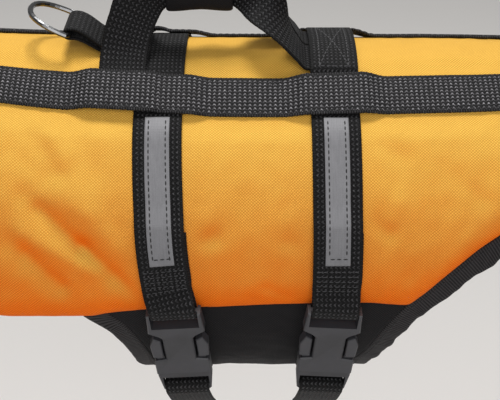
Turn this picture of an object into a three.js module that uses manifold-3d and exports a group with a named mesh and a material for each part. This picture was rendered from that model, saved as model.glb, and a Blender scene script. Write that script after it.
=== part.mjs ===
// Dog life jacket, modelled as it is worn: foam panels over the back and sides, a black belly panel,
// webbing girth straps with side release buckles, a lifting handle and a D-ring.
// Millimetres. +X points to the tail, -X to the head, +Z up, -Y is the side with the buckles.
// The origin is on the spine, on the inner face of the back, midway between the girth straps.
import * as THREE from 'three';
import Module from 'manifold-3d';
import { mergeVertices } from 'three/addons/utils/BufferGeometryUtils.js';

const wasm = await Module();
wasm.setup();

// Gap kept between pieces that touch, at seams and between layers.
const GAP = 0.3;

// Inner form of the jacket: half width, half height and height of the spine along the body.
const SECTIONS = [
  { x: -205, halfWidth: 74, halfHeight: 84, spine: 9 },
  { x: -160, halfWidth: 82, halfHeight: 91, spine: 5 },
  { x: -100, halfWidth: 86, halfHeight: 94, spine: 2 },
  { x: 0, halfWidth: 86, halfHeight: 93.5, spine: 0 },
  { x: 100, halfWidth: 85, halfHeight: 92.5, spine: 0 },
  { x: 160, halfWidth: 81, halfHeight: 88.5, spine: -1 },
  { x: 200, halfWidth: 76, halfHeight: 83.5, spine: -4 },
];

// Foam panels: thickness at their bound edges, under the sewn webbing and in the middle.
const EDGE_THICKNESS = 4;
const SEWN_THICKNESS = 6.5;
const FOAM_THICKNESS = 9;
const EDGE_ROLL = 17;
const FRONT_X = -200;
const TAIL_X = 195;
const FRONT_SWEEP = 35;
const TAIL_SWEEP = 5;

// Long webbing where it climbs over a strap: how far before its edge, and over what length.
const RISE_FROM = 15;
const RISE_LENGTH = 14;

// Angles are in degrees from the spine, positive on the buckle side.
// Middle of the webbing that runs along the back, over the seam of back and side panel.
const WEBBING_LINE = [
  { x: -200, phi: 18.2 },
  { x: -130, phi: 21.2 },
  { x: -77, phi: 23.3 },
  { x: -25, phi: 24.1 },
  { x: 20, phi: 24.3 },
  { x: 78, phi: 23.3 },
  { x: 130, phi: 22.5 },
  { x: 195, phi: 17.2 },
];

// Lower edge of the side panel: leg opening, seam to the belly panel, then the rear outline.
const LOWER_EDGE = [
  { x: -200, phi: 100.5 },
  { x: -131, phi: 99.2 },
  { x: -110, phi: 97.7 },
  { x: -92, phi: 97.1 },
  { x: -84, phi: 96.9 },
  { x: -74, phi: 95.4 },
  { x: -63, phi: 94.4 },
  { x: -21, phi: 92.6 },
  { x: 21, phi: 91.5 },
  { x: 63, phi: 91.5 },
  { x: 73, phi: 92.1 },
  { x: 81.6, phi: 92.6 },
  { x: 88.5, phi: 89.5 },
  { x: 98, phi: 83.7 },
  { x: 107.5, phi: 78.3 },
  { x: 117, phi: 73.4 },
  { x: 126, phi: 69.8 },
  { x: 150, phi: 60.3 },
  { x: 170, phi: 48 },
  { x: 181, phi: 37.5 },
  { x: 188, phi: 30 },
  { x: 193, phi: 22.5 },
  { x: 195, phi: 19 },
];

// Front and rear edge of the belly panel.
const BELLY_FRONT = [
  { phi: 91.5, x: -76.5 },
  { phi: 98.5, x: -66.6 },
  { phi: 107, x: -60 },
  { phi: 118.5, x: -55 },
  { phi: 148, x: -51.5 },
  { phi: 180, x: -50 },
];
const BELLY_REAR = [
  { phi: 91.5, x: 82.5 },
  { phi: 104.5, x: 71 },
  { phi: 119, x: 63 },
  { phi: 126, x: 59 },
  { phi: 180, x: 53 },
];
const BELLY_INSIDE = 0.5;
const BELLY_OUTSIDE = 3.5;
const BELLY_TAPE_END = 0.985;
const SEAM_GAP = 0.45;

// Webbing.
const WEBBING_WIDTH = 25;
const WEBBING_THICKNESS = 1.5;
const LAYER = WEBBING_THICKNESS + GAP;
const WEBBING_FRONT_X = -197;
const WEBBING_TAIL_X = 186;

// Girth straps: middle of each strap round the body, from the spine to under the belly.
const FRONT_STRAP = [
  { phi: 0, x: -46.5 },
  { phi: 32, x: -46.9 },
  { phi: 67, x: -45.4 },
  { phi: 85, x: -42.4 },
  { phi: 96, x: -38.6 },
  { phi: 115, x: -35.5 },
  { phi: 180, x: -34.5 },
];
const REAR_STRAP = [
  { phi: 0, x: 44 },
  { phi: 32, x: 43.6 },
  { phi: 81, x: 44.3 },
  { phi: 96, x: 42.6 },
  { phi: 115, x: 40.5 },
  { phi: 180, x: 39.5 },
];
const FOLD_BACK_PHI = 67;
const STRAP_PRESS = 1.1;

// Reflective strips on the girth straps.
const REFLECTIVE_WIDTH = 12.5;
const REFLECTIVE_THICKNESS = 0.5;
const REFLECTIVE_TOP = 32.5;
const REFLECTIVE_LOW = 76;

// Binding tape.
const BINDING_WIDTH = 10;
const BINDING_THICKNESS = 4;
const BELLY_BINDING_WIDTH = 11;
const NECK_BINDING_END = 70.5;

// Largest folds of the side panels: troughs from one point to another, depth and half width in mm.
const NEAR_FOLDS = [
  { fromX: -112, fromPhi: 58, toX: -85, toPhi: 72.7, depth: 1.5, reach: 7 },
  { fromX: -85, fromPhi: 72.7, toX: -57, toPhi: 88, depth: 1.3, reach: 6 },
  { fromX: -122, fromPhi: 72, toX: -97, toPhi: 86, depth: 1.2, reach: 7 },
  { fromX: -90, fromPhi: 36, toX: -79, toPhi: 50, depth: 0.8, reach: 8 },
  { fromX: -160, fromPhi: 40, toX: -138, toPhi: 62, depth: 1.3, reach: 9 },
  { fromX: 70, fromPhi: 36, toX: 74, toPhi: 50, depth: 0.8, reach: 7 },
  { fromX: 64, fromPhi: 62, toX: 62, toPhi: 86, depth: 0.8, reach: 6 },
  { fromX: 128, fromPhi: 36, toX: 150, toPhi: 50, depth: 1.1, reach: 8 },
];
const FAR_FOLDS = [
  { fromX: -120, fromPhi: 52, toX: -82, toPhi: 70, depth: 1.4, reach: 7 },
  { fromX: -78, fromPhi: 74, toX: -60, toPhi: 86, depth: 1.1, reach: 6 },
  { fromX: -165, fromPhi: 48, toX: -136, toPhi: 66, depth: 1.4, reach: 8 },
  { fromX: -20, fromPhi: 70, toX: -26, toPhi: 84, depth: 0.7, reach: 6 },
  { fromX: 66, fromPhi: 44, toX: 80, toPhi: 62, depth: 1.0, reach: 8 },
  { fromX: 120, fromPhi: 34, toX: 142, toPhi: 52, depth: 1.2, reach: 8 },
];

// Chest band: upper and lower edge, from the side panel round the front of the chest.
const CHEST_BAND_TOP = { phi: 72, reach: 47, frontZ: -78 };
const CHEST_BAND_LOW = { phi: 94, reach: 36, frontZ: -121 };
const CHEST_BAND_THICKNESS = 4;
const CHEST_BAND_EDGE = 1.4;

// Buckles: side release, for 25 mm webbing. Local u runs down the strap, w across, n outwards.
const BUCKLE = {
  width: 29.6,
  thickness: 7.5,
  slotLength: 7,
  slotWidth: 25,
  barLength: 2.8,
  barThickness: 2.8,
  strapWidth: 24.2,
  flangeLength: 16,
  neckHalf: 8.1,
  windowEnd: 35.5,
  mouthEnd: 46.5,
  rimWall: 1.2,
  armClear: 0.35,
  ladderLength: 15,
  ladderThickness: 4.4,
};
const BAR_BEND = 3.05;
const BUCKLE_MIDDLE_PHI = 105.8;
const BUCKLE_SLOT_ABOVE_MIDDLE = 21;
const BUCKLE_RISE = 7.7;
const BUCKLE_TILT = 6;
const FRONT_BUCKLE = { x: -37.2, lean: 5 };
const REAR_BUCKLE = { x: 41.6, lean: -4.5 };

// Handle: free part of the near webbing, with the direction of its width, and the grip sleeve.
// Its feet lie on the back at the two places given as angles from the spine.
const HANDLE_FOOT = { x: -66.5, phis: [22, 19, 16] };
const HANDLE_ROOT = { xs: [29.5, 34, 39], phi: 7.35 };
const HANDLE_PATH = [
  { x: -65.8, y: -17.2, z: 14.2, across: [1, 0, 0] },
  { x: -63.8, y: -12.5, z: 22.5, across: [0.97, 0, -0.22] },
  { x: -59.5, y: -7.4, z: 32.5, across: [0.82, 0, -0.57] },
  { x: -53.5, y: -3.2, z: 40.5, across: [0.55, 0, -0.83] },
  { x: -47, y: -1.5, z: 44.5, across: [0.25, 0, -0.97] },
  { x: -36, y: -1.25, z: 46.9, across: [0.08, 0, -1] },
  { x: -26, y: -1.25, z: 47.4, across: [0, 0, -1] },
  { x: -16, y: -1.25, z: 46.9, across: [-0.08, 0, -1] },
  { x: -6, y: -1.6, z: 44.8, across: [-0.22, 0, -0.97] },
  { x: 2.5, y: -4.4, z: 40.6, across: [-0.42, -0.25, -0.86] },
  { x: 10, y: -9.6, z: 33, across: [-0.4, -0.7, -0.57] },
  { x: 17.5, y: -12.6, z: 23, across: [-0.14, -0.96, -0.22] },
  { x: 24.5, y: -13, z: 14, across: [0, -0.985, -0.17] },
];
const GRIP = { fromX: -44, toX: -9, height: 32.6, depth: 13.5, insideHeight: 29.4, insideDepth: 9.2 };

// D-ring and the webbing loop that holds it.
const RING = { wire: 3, inside: 27.6, reach: 23, barX: -95, barRise: 10.5, tilt: 25 };
const RING_LOOP = { width: 25, rootX: -62, liftX: -80, clearance: 0.35 };

const rad = THREE.MathUtils.degToRad;
const clamp01 = (t) => Math.min(1, Math.max(0, t));
const smooth = (t) => clamp01(t) ** 2 * (3 - 2 * clamp01(t));
const roll = (t) => Math.sqrt(1 - (1 - clamp01(t)) ** 2);
const vec = (x, y, z) => new THREE.Vector3(x, y, z);

// Value of one column of a table at a place, without overshoot between the rows.
function read(table, column, at, by = 'x') {
  const last = table.length - 1;
  if (at <= table[0][by]) return table[0][column];
  if (at >= table[last][by]) return table[last][column];
  const slope = (i) => (table[i + 1][column] - table[i][column]) / (table[i + 1][by] - table[i][by]);
  const tangent = (i) => {
    if (i === 0) return slope(0);
    if (i === last) return slope(last - 1);
    const before = slope(i - 1);
    const after = slope(i);
    return before * after > 0 ? (2 * before * after) / (before + after) : 0;
  };
  let i = 0;
  while (at > table[i + 1][by]) i += 1;
  const span = table[i + 1][by] - table[i][by];
  const t = (at - table[i][by]) / span;
  const rest = 1 - t;
  const ends = table[i][column] * (1 + 2 * t) * rest ** 2 + table[i + 1][column] * t ** 2 * (3 - 2 * t);
  return ends + span * (tangent(i) * t * rest ** 2 - tangent(i + 1) * t ** 2 * rest);
}

// Point on the jacket's form at a height above its inner face.
function onForm(x, phi, height) {
  const halfWidth = read(SECTIONS, 'halfWidth', x);
  const halfHeight = read(SECTIONS, 'halfHeight', x);
  const angle = rad(phi);
  const normal = vec(0, -Math.sin(angle) / halfWidth, Math.cos(angle) / halfHeight).normalize();
  const z = read(SECTIONS, 'spine', x) - halfHeight + halfHeight * Math.cos(angle);
  return vec(x, -halfWidth * Math.sin(angle), z).addScaledVector(normal, height);
}

function formRadius(x) {
  return (read(SECTIONS, 'halfWidth', x) + read(SECTIONS, 'halfHeight', x)) / 2 + FOAM_THICKNESS;
}

// One degree round the form, in millimetres on the outside.
const MM_PER_DEGREE = rad(1) * formRadius(0);

// Front and tail edges are swept: a column of the panels bends with the angle near each end.
function sweptX(x, phi) {
  const around = Math.abs(phi) / 95;
  const front = FRONT_SWEEP * around ** 2.2 * smooth((-130 - x) / 70);
  const tail = TAIL_SWEEP * (Math.abs(phi) / 20) ** 2 * smooth((x - 160) / 35);
  return x + front - tail * (Math.abs(phi) <= 20 ? 1 : 20 / Math.abs(phi));
}

function strapX(strap, phi) {
  const around = Math.abs(phi);
  return read(strap, 'x', around > 180 ? 360 - around : around, 'phi');
}

// Height of the foam panels' outer face: rolled edges, pressed under webbing and straps, folded.
function foamHeight(column, phi) {
  const x = sweptX(column, phi);
  const around = Math.abs(phi);
  const low = (read(LOWER_EDGE, 'phi', column) - around) * MM_PER_DEGREE;
  const frontEdge = column - FRONT_X;
  const tailEdge = TAIL_X - column;
  const edge = roll(low / EDGE_ROLL) * roll(frontEdge / EDGE_ROLL) * roll((tailEdge + 1) / EDGE_ROLL);
  const fromWebbing = Math.abs(around - read(WEBBING_LINE, 'phi', column)) * MM_PER_DEGREE;
  const puff = smooth((fromWebbing - WEBBING_WIDTH / 2 - 3) / 13);
  let pressed = 0;
  for (const strap of [FRONT_STRAP, REAR_STRAP]) {
    const away = Math.abs(x - strapX(strap, phi)) - WEBBING_WIDTH / 2;
    pressed += 1 - smooth((away - 0.5) / 12);
  }
  let fold = 0;
  for (const row of phi >= 0 ? NEAR_FOLDS : FAR_FOLDS) {
    const dx = row.toX - row.fromX;
    const dy = (row.toPhi - row.fromPhi) * MM_PER_DEGREE;
    const px = x - row.fromX;
    const py = (around - row.fromPhi) * MM_PER_DEGREE;
    const t = clamp01((px * dx + py * dy) / (dx * dx + dy * dy));
    const away = Math.hypot(px - t * dx, py - t * dy) / row.reach;
    fold += row.depth * Math.exp(-away * away);
  }
  const sewn = EDGE_THICKNESS + (SEWN_THICKNESS - EDGE_THICKNESS) * edge;
  const shaped = STRAP_PRESS * pressed + fold * (1 - pressed);
  return sewn + (FOAM_THICKNESS - SEWN_THICKNESS - shaped) * edge * puff;
}

// Highest face of the jacket under a girth strap, over the strap's width and a step along it.
function underStrap(x, phi) {
  let height = BELLY_OUTSIDE;
  for (const dx of [-12.5, -6, 0, 6, 12.5]) {
    for (const turn of [-2.5, 0, 2.5]) {
      const onFoam = Math.abs(phi + turn) < read(LOWER_EDGE, 'phi', x + dx);
      if (onFoam) height = Math.max(height, foamHeight(x + dx, phi + turn));
    }
  }
  return height;
}

// A closed body from faces given as lists of corner points.
function bodyFrom(faces) {
  const positions = [];
  let volume = 0;
  for (const [a, b, c] of faces) {
    positions.push(...a.toArray(), ...b.toArray(), ...c.toArray());
    volume += a.dot(vec(0, 0, 0).crossVectors(b, c));
  }
  if (volume < 0) {
    for (let i = 0; i < positions.length; i += 9) {
      for (let k = 0; k < 3; k += 1) {
        [positions[i + 3 + k], positions[i + 6 + k]] = [positions[i + 6 + k], positions[i + 3 + k]];
      }
    }
  }
  const geometry = new THREE.BufferGeometry();
  geometry.setAttribute('position', new THREE.Float32BufferAttribute(positions, 3));
  return mergeVertices(geometry, 1e-4);
}

function quad(faces, a, b, c, d) {
  faces.push([a, b, c], [a, c, d]);
}

// Wall between an outer and an inner grid of points.
function wall(outer, inner) {
  const faces = [];
  const rows = outer.length - 1;
  const columns = outer[0].length - 1;
  for (let i = 0; i < rows; i += 1) {
    for (let j = 0; j < columns; j += 1) {
      quad(faces, outer[i][j], outer[i + 1][j], outer[i + 1][j + 1], outer[i][j + 1]);
      quad(faces, inner[i][j], inner[i][j + 1], inner[i + 1][j + 1], inner[i + 1][j]);
    }
    quad(faces, outer[i][0], inner[i][0], inner[i + 1][0], outer[i + 1][0]);
    quad(faces, outer[i + 1][columns], inner[i + 1][columns], inner[i][columns], outer[i][columns]);
  }
  for (let j = 0; j < columns; j += 1) {
    quad(faces, outer[0][j + 1], inner[0][j + 1], inner[0][j], outer[0][j]);
    quad(faces, outer[rows][j], inner[rows][j], inner[rows][j + 1], outer[rows][j + 1]);
  }
  return bodyFrom(faces);
}

// Solid through a row of rings, closed on itself or with flat ends.
function loft(rings, closed = false) {
  const faces = [];
  const count = rings[0].length;
  const last = closed ? rings.length : rings.length - 1;
  for (let i = 0; i < last; i += 1) {
    const ring = rings[i];
    const next = rings[(i + 1) % rings.length];
    for (let j = 0; j < count; j += 1) {
      const k = (j + 1) % count;
      if (j < count / 2) quad(faces, ring[j], ring[k], next[k], next[j]);
      else quad(faces, ring[k], next[k], next[j], ring[j]);
    }
  }
  if (!closed) {
    const end = rings[rings.length - 1];
    for (let j = 1; j < count - 1; j += 1) {
      faces.push([rings[0][0], rings[0][j + 1], rings[0][j]]);
      faces.push([end[0], end[j], end[j + 1]]);
    }
  }
  return bodyFrom(faces);
}

// Even steps between two numbers, both included.
function steps(from, to, count) {
  return Array.from({ length: count + 1 }, (_, i) => from + ((to - from) * i) / count);
}

// Steps that crowd towards both ends.
function crowded(from, to, count) {
  return steps(0, Math.PI, count).map((angle) => from + ((to - from) * (1 - Math.cos(angle))) / 2);
}

// Columns along the panels: an even pitch, with lines at the edges of the girth straps.
const STRAP_LINES = [-72, -60.5, -47, -33, -20, 18, 30.5, 44, 57.5, 70];
const PANEL_COLUMNS = [
  ...crowded(FRONT_X, -84, 12),
  ...STRAP_LINES.slice(0, 5),
  -8,
  5,
  ...STRAP_LINES.slice(5),
  ...steps(82, 118, 4),
  ...crowded(127, TAIL_X, 8),
];

function sidePanel(side) {
  const rows = crowded(0, 1, 13);
  const grid = (height) =>
    rows.map((v) =>
      PANEL_COLUMNS.map((column) => {
        const top = read(WEBBING_LINE, 'phi', column) + GAP / 2 / MM_PER_DEGREE;
        const phi = side * (top + (read(LOWER_EDGE, 'phi', column) - top) * v);
        return onForm(sweptX(column, phi), phi, height(column, phi));
      }),
    );
  return wall(grid(foamHeight), grid(() => 0));
}

function backPanel() {
  const rows = steps(-1, 1, 10);
  const grid = (height) =>
    rows.map((v) =>
      PANEL_COLUMNS.map((column) => {
        const phi = v * (read(WEBBING_LINE, 'phi', column) - GAP / 2 / MM_PER_DEGREE);
        return onForm(sweptX(column, phi), phi, height(column, phi));
      }),
    );
  return wall(grid(foamHeight), grid(() => 0));
}

// Place on the belly panel: u from front to rear edge, v from the far seam to the near seam.
function bellyPlace(u, v, height) {
  const rough = 180 - 88 * Math.abs(v);
  const front = read(BELLY_FRONT, 'x', rough, 'phi');
  const x = front + (read(BELLY_REAR, 'x', rough, 'phi') - front) * u;
  const seam = read(LOWER_EDGE, 'phi', x) + SEAM_GAP / MM_PER_DEGREE;
  const around = 180 - (180 - seam) * Math.abs(v);
  return { x, phi: v < 0 ? 360 - around : around, height };
}

const BELLY_ROWS = [...steps(0, 0.93, 12), 0.965, 1];

function bellyPanel() {
  const rows = [...BELLY_ROWS.slice(1).reverse().map((v) => -v), ...BELLY_ROWS];
  const columns = crowded(0, 1, 9);
  const grid = (height) =>
    rows.map((v) =>
      columns.map((u) => {
        const place = bellyPlace(u, v, height);
        return onForm(place.x, place.phi, place.height);
      }),
    );
  return wall(grid(BELLY_OUTSIDE), grid(BELLY_INSIDE));
}

// Section of a folded tape: a flat rounded bar that runs outwards from an edge.
const TAPE_SECTION = [
  { out: 0, up: -0.3 },
  { out: 0, up: 0.3 },
  { out: 0.12, up: 0.5 },
  { out: 0.8, up: 0.5 },
  { out: 1, up: 0.22 },
  { out: 1, up: -0.22 },
  { out: 0.8, up: -0.5 },
  { out: 0.12, up: -0.5 },
];

// Binding along an edge: edge points lie in the middle of the edge's thickness. Mitred ends run
// along the body, beside a seam.
function binding(edge, outward, closed, width = BINDING_WIDTH, mitred = false) {
  const rings = edge.map((place, i) => {
    const point = onForm(place.x, place.phi, place.height);
    const up = onForm(place.x, place.phi, place.height + 1).sub(point).normalize();
    const before = edge[closed ? (i + edge.length - 1) % edge.length : Math.max(0, i - 1)];
    const after = edge[closed ? (i + 1) % edge.length : Math.min(edge.length - 1, i + 1)];
    const along = onForm(after.x, after.phi, after.height).sub(onForm(before.x, before.phi, before.height));
    const out = vec(0, 0, 0).crossVectors(along.normalize(), up).multiplyScalar(outward).normalize();
    if (mitred && (i === 0 || i === edge.length - 1)) out.set(1 / out.x, 0, 0);
    return TAPE_SECTION.map((corner) =>
      point
        .clone()
        .addScaledVector(out, GAP + corner.out * width)
        .addScaledVector(up, corner.up * BINDING_THICKNESS),
    );
  });
  return loft(rings, closed);
}

const PANEL_EDGE_HEIGHT = EDGE_THICKNESS / 2;

// Rear rim: tail, slanting side edge, the belly panel's rear edge, and back up the other side.
function rearBinding() {
  const rim = [...steps(0, 16.5, 2).map((phi) => ({ column: TAIL_X, phi }))];
  for (const column of PANEL_COLUMNS.filter((x) => x > 86).reverse()) {
    rim.push({ column, phi: read(LOWER_EDGE, 'phi', column) });
  }
  const place = ({ column, phi }) => ({ x: sweptX(column, phi), phi, height: PANEL_EDGE_HEIGHT });
  const onPanel = rim.map(place);
  const onBelly = BELLY_ROWS.slice(1, -2).reverse().map((v) => bellyPlace(1, v, PANEL_EDGE_HEIGHT));
  const near = [...onPanel, ...onBelly];
  const far = near.slice(1).reverse().map((place) => ({ ...place, phi: -place.phi }));
  return binding([...near, bellyPlace(1, 0, PANEL_EDGE_HEIGHT), ...far], -1, true);
}

function bellyFrontBinding() {
  const half = [...BELLY_ROWS.slice(1, -2), BELLY_TAPE_END];
  const sides = [...half.slice().reverse(), 0, ...half.map((v) => -v)];
  const edge = sides.map((v) => bellyPlace(0, v, PANEL_EDGE_HEIGHT));
  return binding(edge, 1, false, BELLY_BINDING_WIDTH, true);
}

function neckBinding() {
  const place = (phi) => ({ x: sweptX(FRONT_X, phi), phi, height: PANEL_EDGE_HEIGHT });
  const edge = steps(-NECK_BINDING_END, NECK_BINDING_END, 30).map(place);
  return binding(edge, 1, false);
}

// Webbing along the back, stepping over the girth strap and the handle's foot.
function webbingRise(x, v) {
  const climb = (inside) => smooth((inside + RISE_FROM) / RISE_LENGTH);
  const over = (from, to) => climb(x - from) * climb(to - x);
  const footX = HANDLE_FOOT.x;
  const half = WEBBING_WIDTH / 2;
  const front = over(FRONT_STRAP[0].x - half, FRONT_STRAP[0].x + half);
  const foot = over(footX - half - 1, footX + half + 1);
  const rear = over(REAR_STRAP[0].x - half, REAR_STRAP[0].x + half);
  return LAYER * Math.max(1.2 * front, 2.1 * foot, rear * (1.35 + 3 * Math.max(0, -0.25 - v)));
}

function backWebbing(side) {
  const inside = PANEL_COLUMNS.filter((x) => x > WEBBING_FRONT_X + 1 && x < WEBBING_TAIL_X - 1);
  const rises = [-95, -88, -81, -66.5, -54, -27, -20, 17, 24, 31, 57, 64, 71];
  const columns = [WEBBING_FRONT_X, ...inside, ...rises, WEBBING_TAIL_X].sort((a, b) => a - b);
  const across = steps(-0.5, 0.5, 4);
  const grid = (lift) =>
    across.map((v) =>
      columns.map((column) => {
        const phi = side * (read(WEBBING_LINE, 'phi', column) + (v * WEBBING_WIDTH) / MM_PER_DEGREE);
        const base = foamHeight(column, side * read(WEBBING_LINE, 'phi', column));
        return onForm(sweptX(column, phi), phi, base + GAP + webbingRise(column, v) + lift);
      }),
    );
  return wall(grid(WEBBING_THICKNESS), grid(0));
}

// Flat webbing along a row of frames, each with its middle and the direction of its width.
function ribbon(frames, width = WEBBING_WIDTH, thickness = WEBBING_THICKNESS) {
  const rings = frames.map((frame, i) => {
    const before = frames[Math.max(0, i - 1)].middle;
    const after = frames[Math.min(frames.length - 1, i + 1)].middle;
    const along = after.clone().sub(before).normalize();
    const up = vec(0, 0, 0).crossVectors(frame.across, along).normalize();
    const across = vec(0, 0, 0).crossVectors(along, up).normalize();
    const corner = (w, n) =>
      frame.middle
        .clone()
        .addScaledVector(across, (w * (frame.width ?? width)) / 2)
        .addScaledVector(up, (n * thickness) / 2);
    return [corner(-1, -1), corner(1, -1), corner(1, 1), corner(-1, 1)];
  });
  return loft(rings);
}

// Local frame of a buckle, from the middle of its body on the belly.
function buckleFrame(buckle) {
  const origin = onForm(buckle.x, BUCKLE_MIDDLE_PHI, BUCKLE_RISE);
  const normal = onForm(buckle.x, BUCKLE_MIDDLE_PHI, BUCKLE_RISE + 1).sub(origin).normalize();
  const across = vec(1, 0, 0);
  const down = vec(0, 0, 0).crossVectors(normal, across).normalize();
  if (down.z > 0) down.negate();
  const lean = rad(buckle.lean);
  const flat = down.clone().multiplyScalar(Math.cos(lean)).addScaledVector(across, Math.sin(lean));
  const w = vec(0, 0, 0).crossVectors(flat, normal).normalize();
  if (w.x < 0) w.negate();
  const tilt = rad(BUCKLE_TILT);
  const u = flat.clone().multiplyScalar(Math.cos(tilt)).addScaledVector(normal, Math.sin(tilt));
  const n = normal.clone().multiplyScalar(Math.cos(tilt)).addScaledVector(flat, -Math.sin(tilt));
  return { origin, u, w, n };
}

// Point of a buckle: u is measured from the outer edge of its strap bar.
function buckleU(u) {
  return u - BUCKLE.barLength - BUCKLE.slotLength / 2 - BUCKLE_SLOT_ABOVE_MIDDLE;
}

function onBuckle(frame, u, w, n) {
  return frame.origin
    .clone()
    .addScaledVector(frame.u, buckleU(u))
    .addScaledVector(frame.w, w)
    .addScaledVector(frame.n, n);
}

const LADDER_START = BUCKLE.mouthEnd + 1.6;
const LADDER_SLOT = { from: LADDER_START + 3.2, to: LADDER_START + 10 };

// Girth strap: from its folded end behind itself, round the buckle's bar, over the back and round
// under the belly to the lower half of the buckle, where it folds back again.
function girthStrap(strap, buckle, overFoot) {
  const frame = buckleFrame(buckle);
  const half = WEBBING_THICKNESS / 2;
  const frames = [];
  const onSurface = (phi, layers) => {
    const x = strapX(strap, phi);
    const lift = layers + (Math.abs(phi) < 16.8 ? overFoot : 0);
    const height = underStrap(x, phi) + 1.4 * GAP + half + lift * LAYER;
    frames.push({ middle: onForm(x, phi, height), across: vec(1, 0, 0) });
  };
  const middleN = BUCKLE.thickness / 2;
  const onHalf = (u, n) => {
    frames.push({ middle: onBuckle(frame, u, 0, middleN + n), across: frame.w, width: BUCKLE.strapWidth });
  };
  for (const phi of [FOLD_BACK_PHI, 70.5, 74, 77.5, 81]) onSurface(phi, 0);
  onSurface(84, -0.1);
  onHalf(-1.5, -BAR_BEND);
  for (const angle of [-90, -60, -30, 0, 30, 60, 90]) {
    onHalf(BUCKLE.barLength / 2 + BAR_BEND * Math.cos(rad(angle)), BAR_BEND * Math.sin(rad(angle)));
  }
  onHalf(-3, BAR_BEND + 0.3);
  for (const phi of [84, 81, 77.5, 74, 70.5, FOLD_BACK_PHI]) onSurface(phi, 1);
  onSurface(64.5, 0.8);
  onSurface(62, 0.2);
  const overBack = [...steps(59, 21, 7), 17, 15.3, ...steps(12, -12, 5), -15.3, -17, -21];
  const farSide = [...steps(-26, -84, 10), -88, -91, -94, -97];
  const underBelly = steps(-102, -216, 19);
  for (const phi of [...overBack, ...farSide, ...underBelly]) onSurface(phi, 0);
  const under = BUCKLE.ladderThickness / 2 + 2 * GAP + half;
  onHalf(LADDER_SLOT.to + 6.5, -under - 1);
  onHalf(LADDER_SLOT.to + 3, -under);
  for (const angle of [-60, -30, 0, 30, 60]) {
    onHalf(LADDER_SLOT.to + 0.4 - 2.4 * Math.cos(rad(angle)), under * Math.sin(rad(angle)));
  }
  onHalf(LADDER_SLOT.to + 3, under);
  const away = (u) => buckleU(u) ** 2 / (2 * formRadius(0));
  for (const further of [9, 17, 25, 32]) {
    const u = LADDER_SLOT.to + further;
    onHalf(u, under - away(u) + away(LADDER_SLOT.to + 3));
  }
  return ribbon(frames);
}

function reflectiveStrip(strap, side) {
  const phis = [...steps(REFLECTIVE_TOP, 59, 5), 62, 64.5, 67, 70.5, REFLECTIVE_LOW];
  const frames = phis.map((phi) => {
    const x = strapX(strap, phi);
    const doubled = side < 0 ? 0 : smooth((phi - 59) / 6);
    const bridge = side > 0 && phi > 60 && phi < 66 ? 0.25 : 0.05;
    const onStrap = underStrap(x, side * phi) + GAP + LAYER * (1 + doubled);
    const height = onStrap + bridge + REFLECTIVE_THICKNESS / 2;
    return { middle: onForm(x, side * phi, height), across: vec(1, 0, 0) };
  });
  return ribbon(frames, REFLECTIVE_WIDTH, REFLECTIVE_THICKNESS);
}

// Handle webbing on one side, from its foot on the strap, through the grip, to its root.
function handleWebbing(side) {
  const half = WEBBING_THICKNESS / 2;
  const foot = HANDLE_FOOT.phis.map((phi) => {
    const height = foamHeight(HANDLE_FOOT.x, phi) + GAP + LAYER + half;
    return { middle: onForm(HANDLE_FOOT.x, phi, height), across: [1, 0, 0] };
  });
  const free = HANDLE_PATH.map((p) => ({ middle: vec(p.x, p.y, p.z), across: p.across }));
  const root = HANDLE_ROOT.xs.map((x) => ({
    middle: onForm(x, HANDLE_ROOT.phi, foamHeight(x, HANDLE_ROOT.phi) + 1.7 * GAP + half),
    across: [0, -Math.cos(rad(HANDLE_ROOT.phi)), -Math.sin(rad(HANDLE_ROOT.phi))],
  }));
  const places = [...foot, ...free, ...root];
  const path = new THREE.CatmullRomCurve3(places.map((p) => p.middle), false, 'centripetal');
  const widths = new THREE.CatmullRomCurve3(places.map((p) => vec(...p.across)));
  const mirror = vec(1, side, 1);
  const frames = steps(0, 1, 3 * (places.length - 1)).map((t) => ({
    middle: path.getPoint(t).multiply(mirror),
    across: widths.getPoint(t).multiply(mirror).normalize(),
    width: WEBBING_WIDTH - 1.4 * t,
  }));
  return ribbon(frames);
}

// Grip sleeve: a padded wrap round both handle webbings.
function gripSleeve() {
  const squared = (value) => Math.sign(value) * Math.abs(value) ** 0.55;
  const around = steps(0, 2 * Math.PI, 16).slice(0, 16);
  const ringAt = (x, height, depth) =>
    around.map((angle) => {
      const y = (depth / 2) * squared(Math.cos(angle));
      return vec(x, y, read(HANDLE_PATH, 'z', x) + (height / 2) * squared(Math.sin(angle)));
    });
  const length = GRIP.toX - GRIP.fromX;
  const outer = steps(0, 1, 8).map((t) => {
    const end = 0.88 + 0.12 * roll(Math.min(t, 1 - t) * 5);
    return ringAt(GRIP.fromX + length * t, GRIP.height * end, GRIP.depth * end);
  });
  const insideRing = (t) => ringAt(GRIP.fromX + length * t, GRIP.insideHeight, GRIP.insideDepth);
  const inner = steps(1, 0, 4).map(insideRing);
  return loft([...outer, ...inner], true);
}

const backHeightAt = (x) => onForm(x, 0, foamHeight(x, 0)).z;
const RING_BAR_Z = backHeightAt(RING.barX) + RING.barRise;

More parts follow.
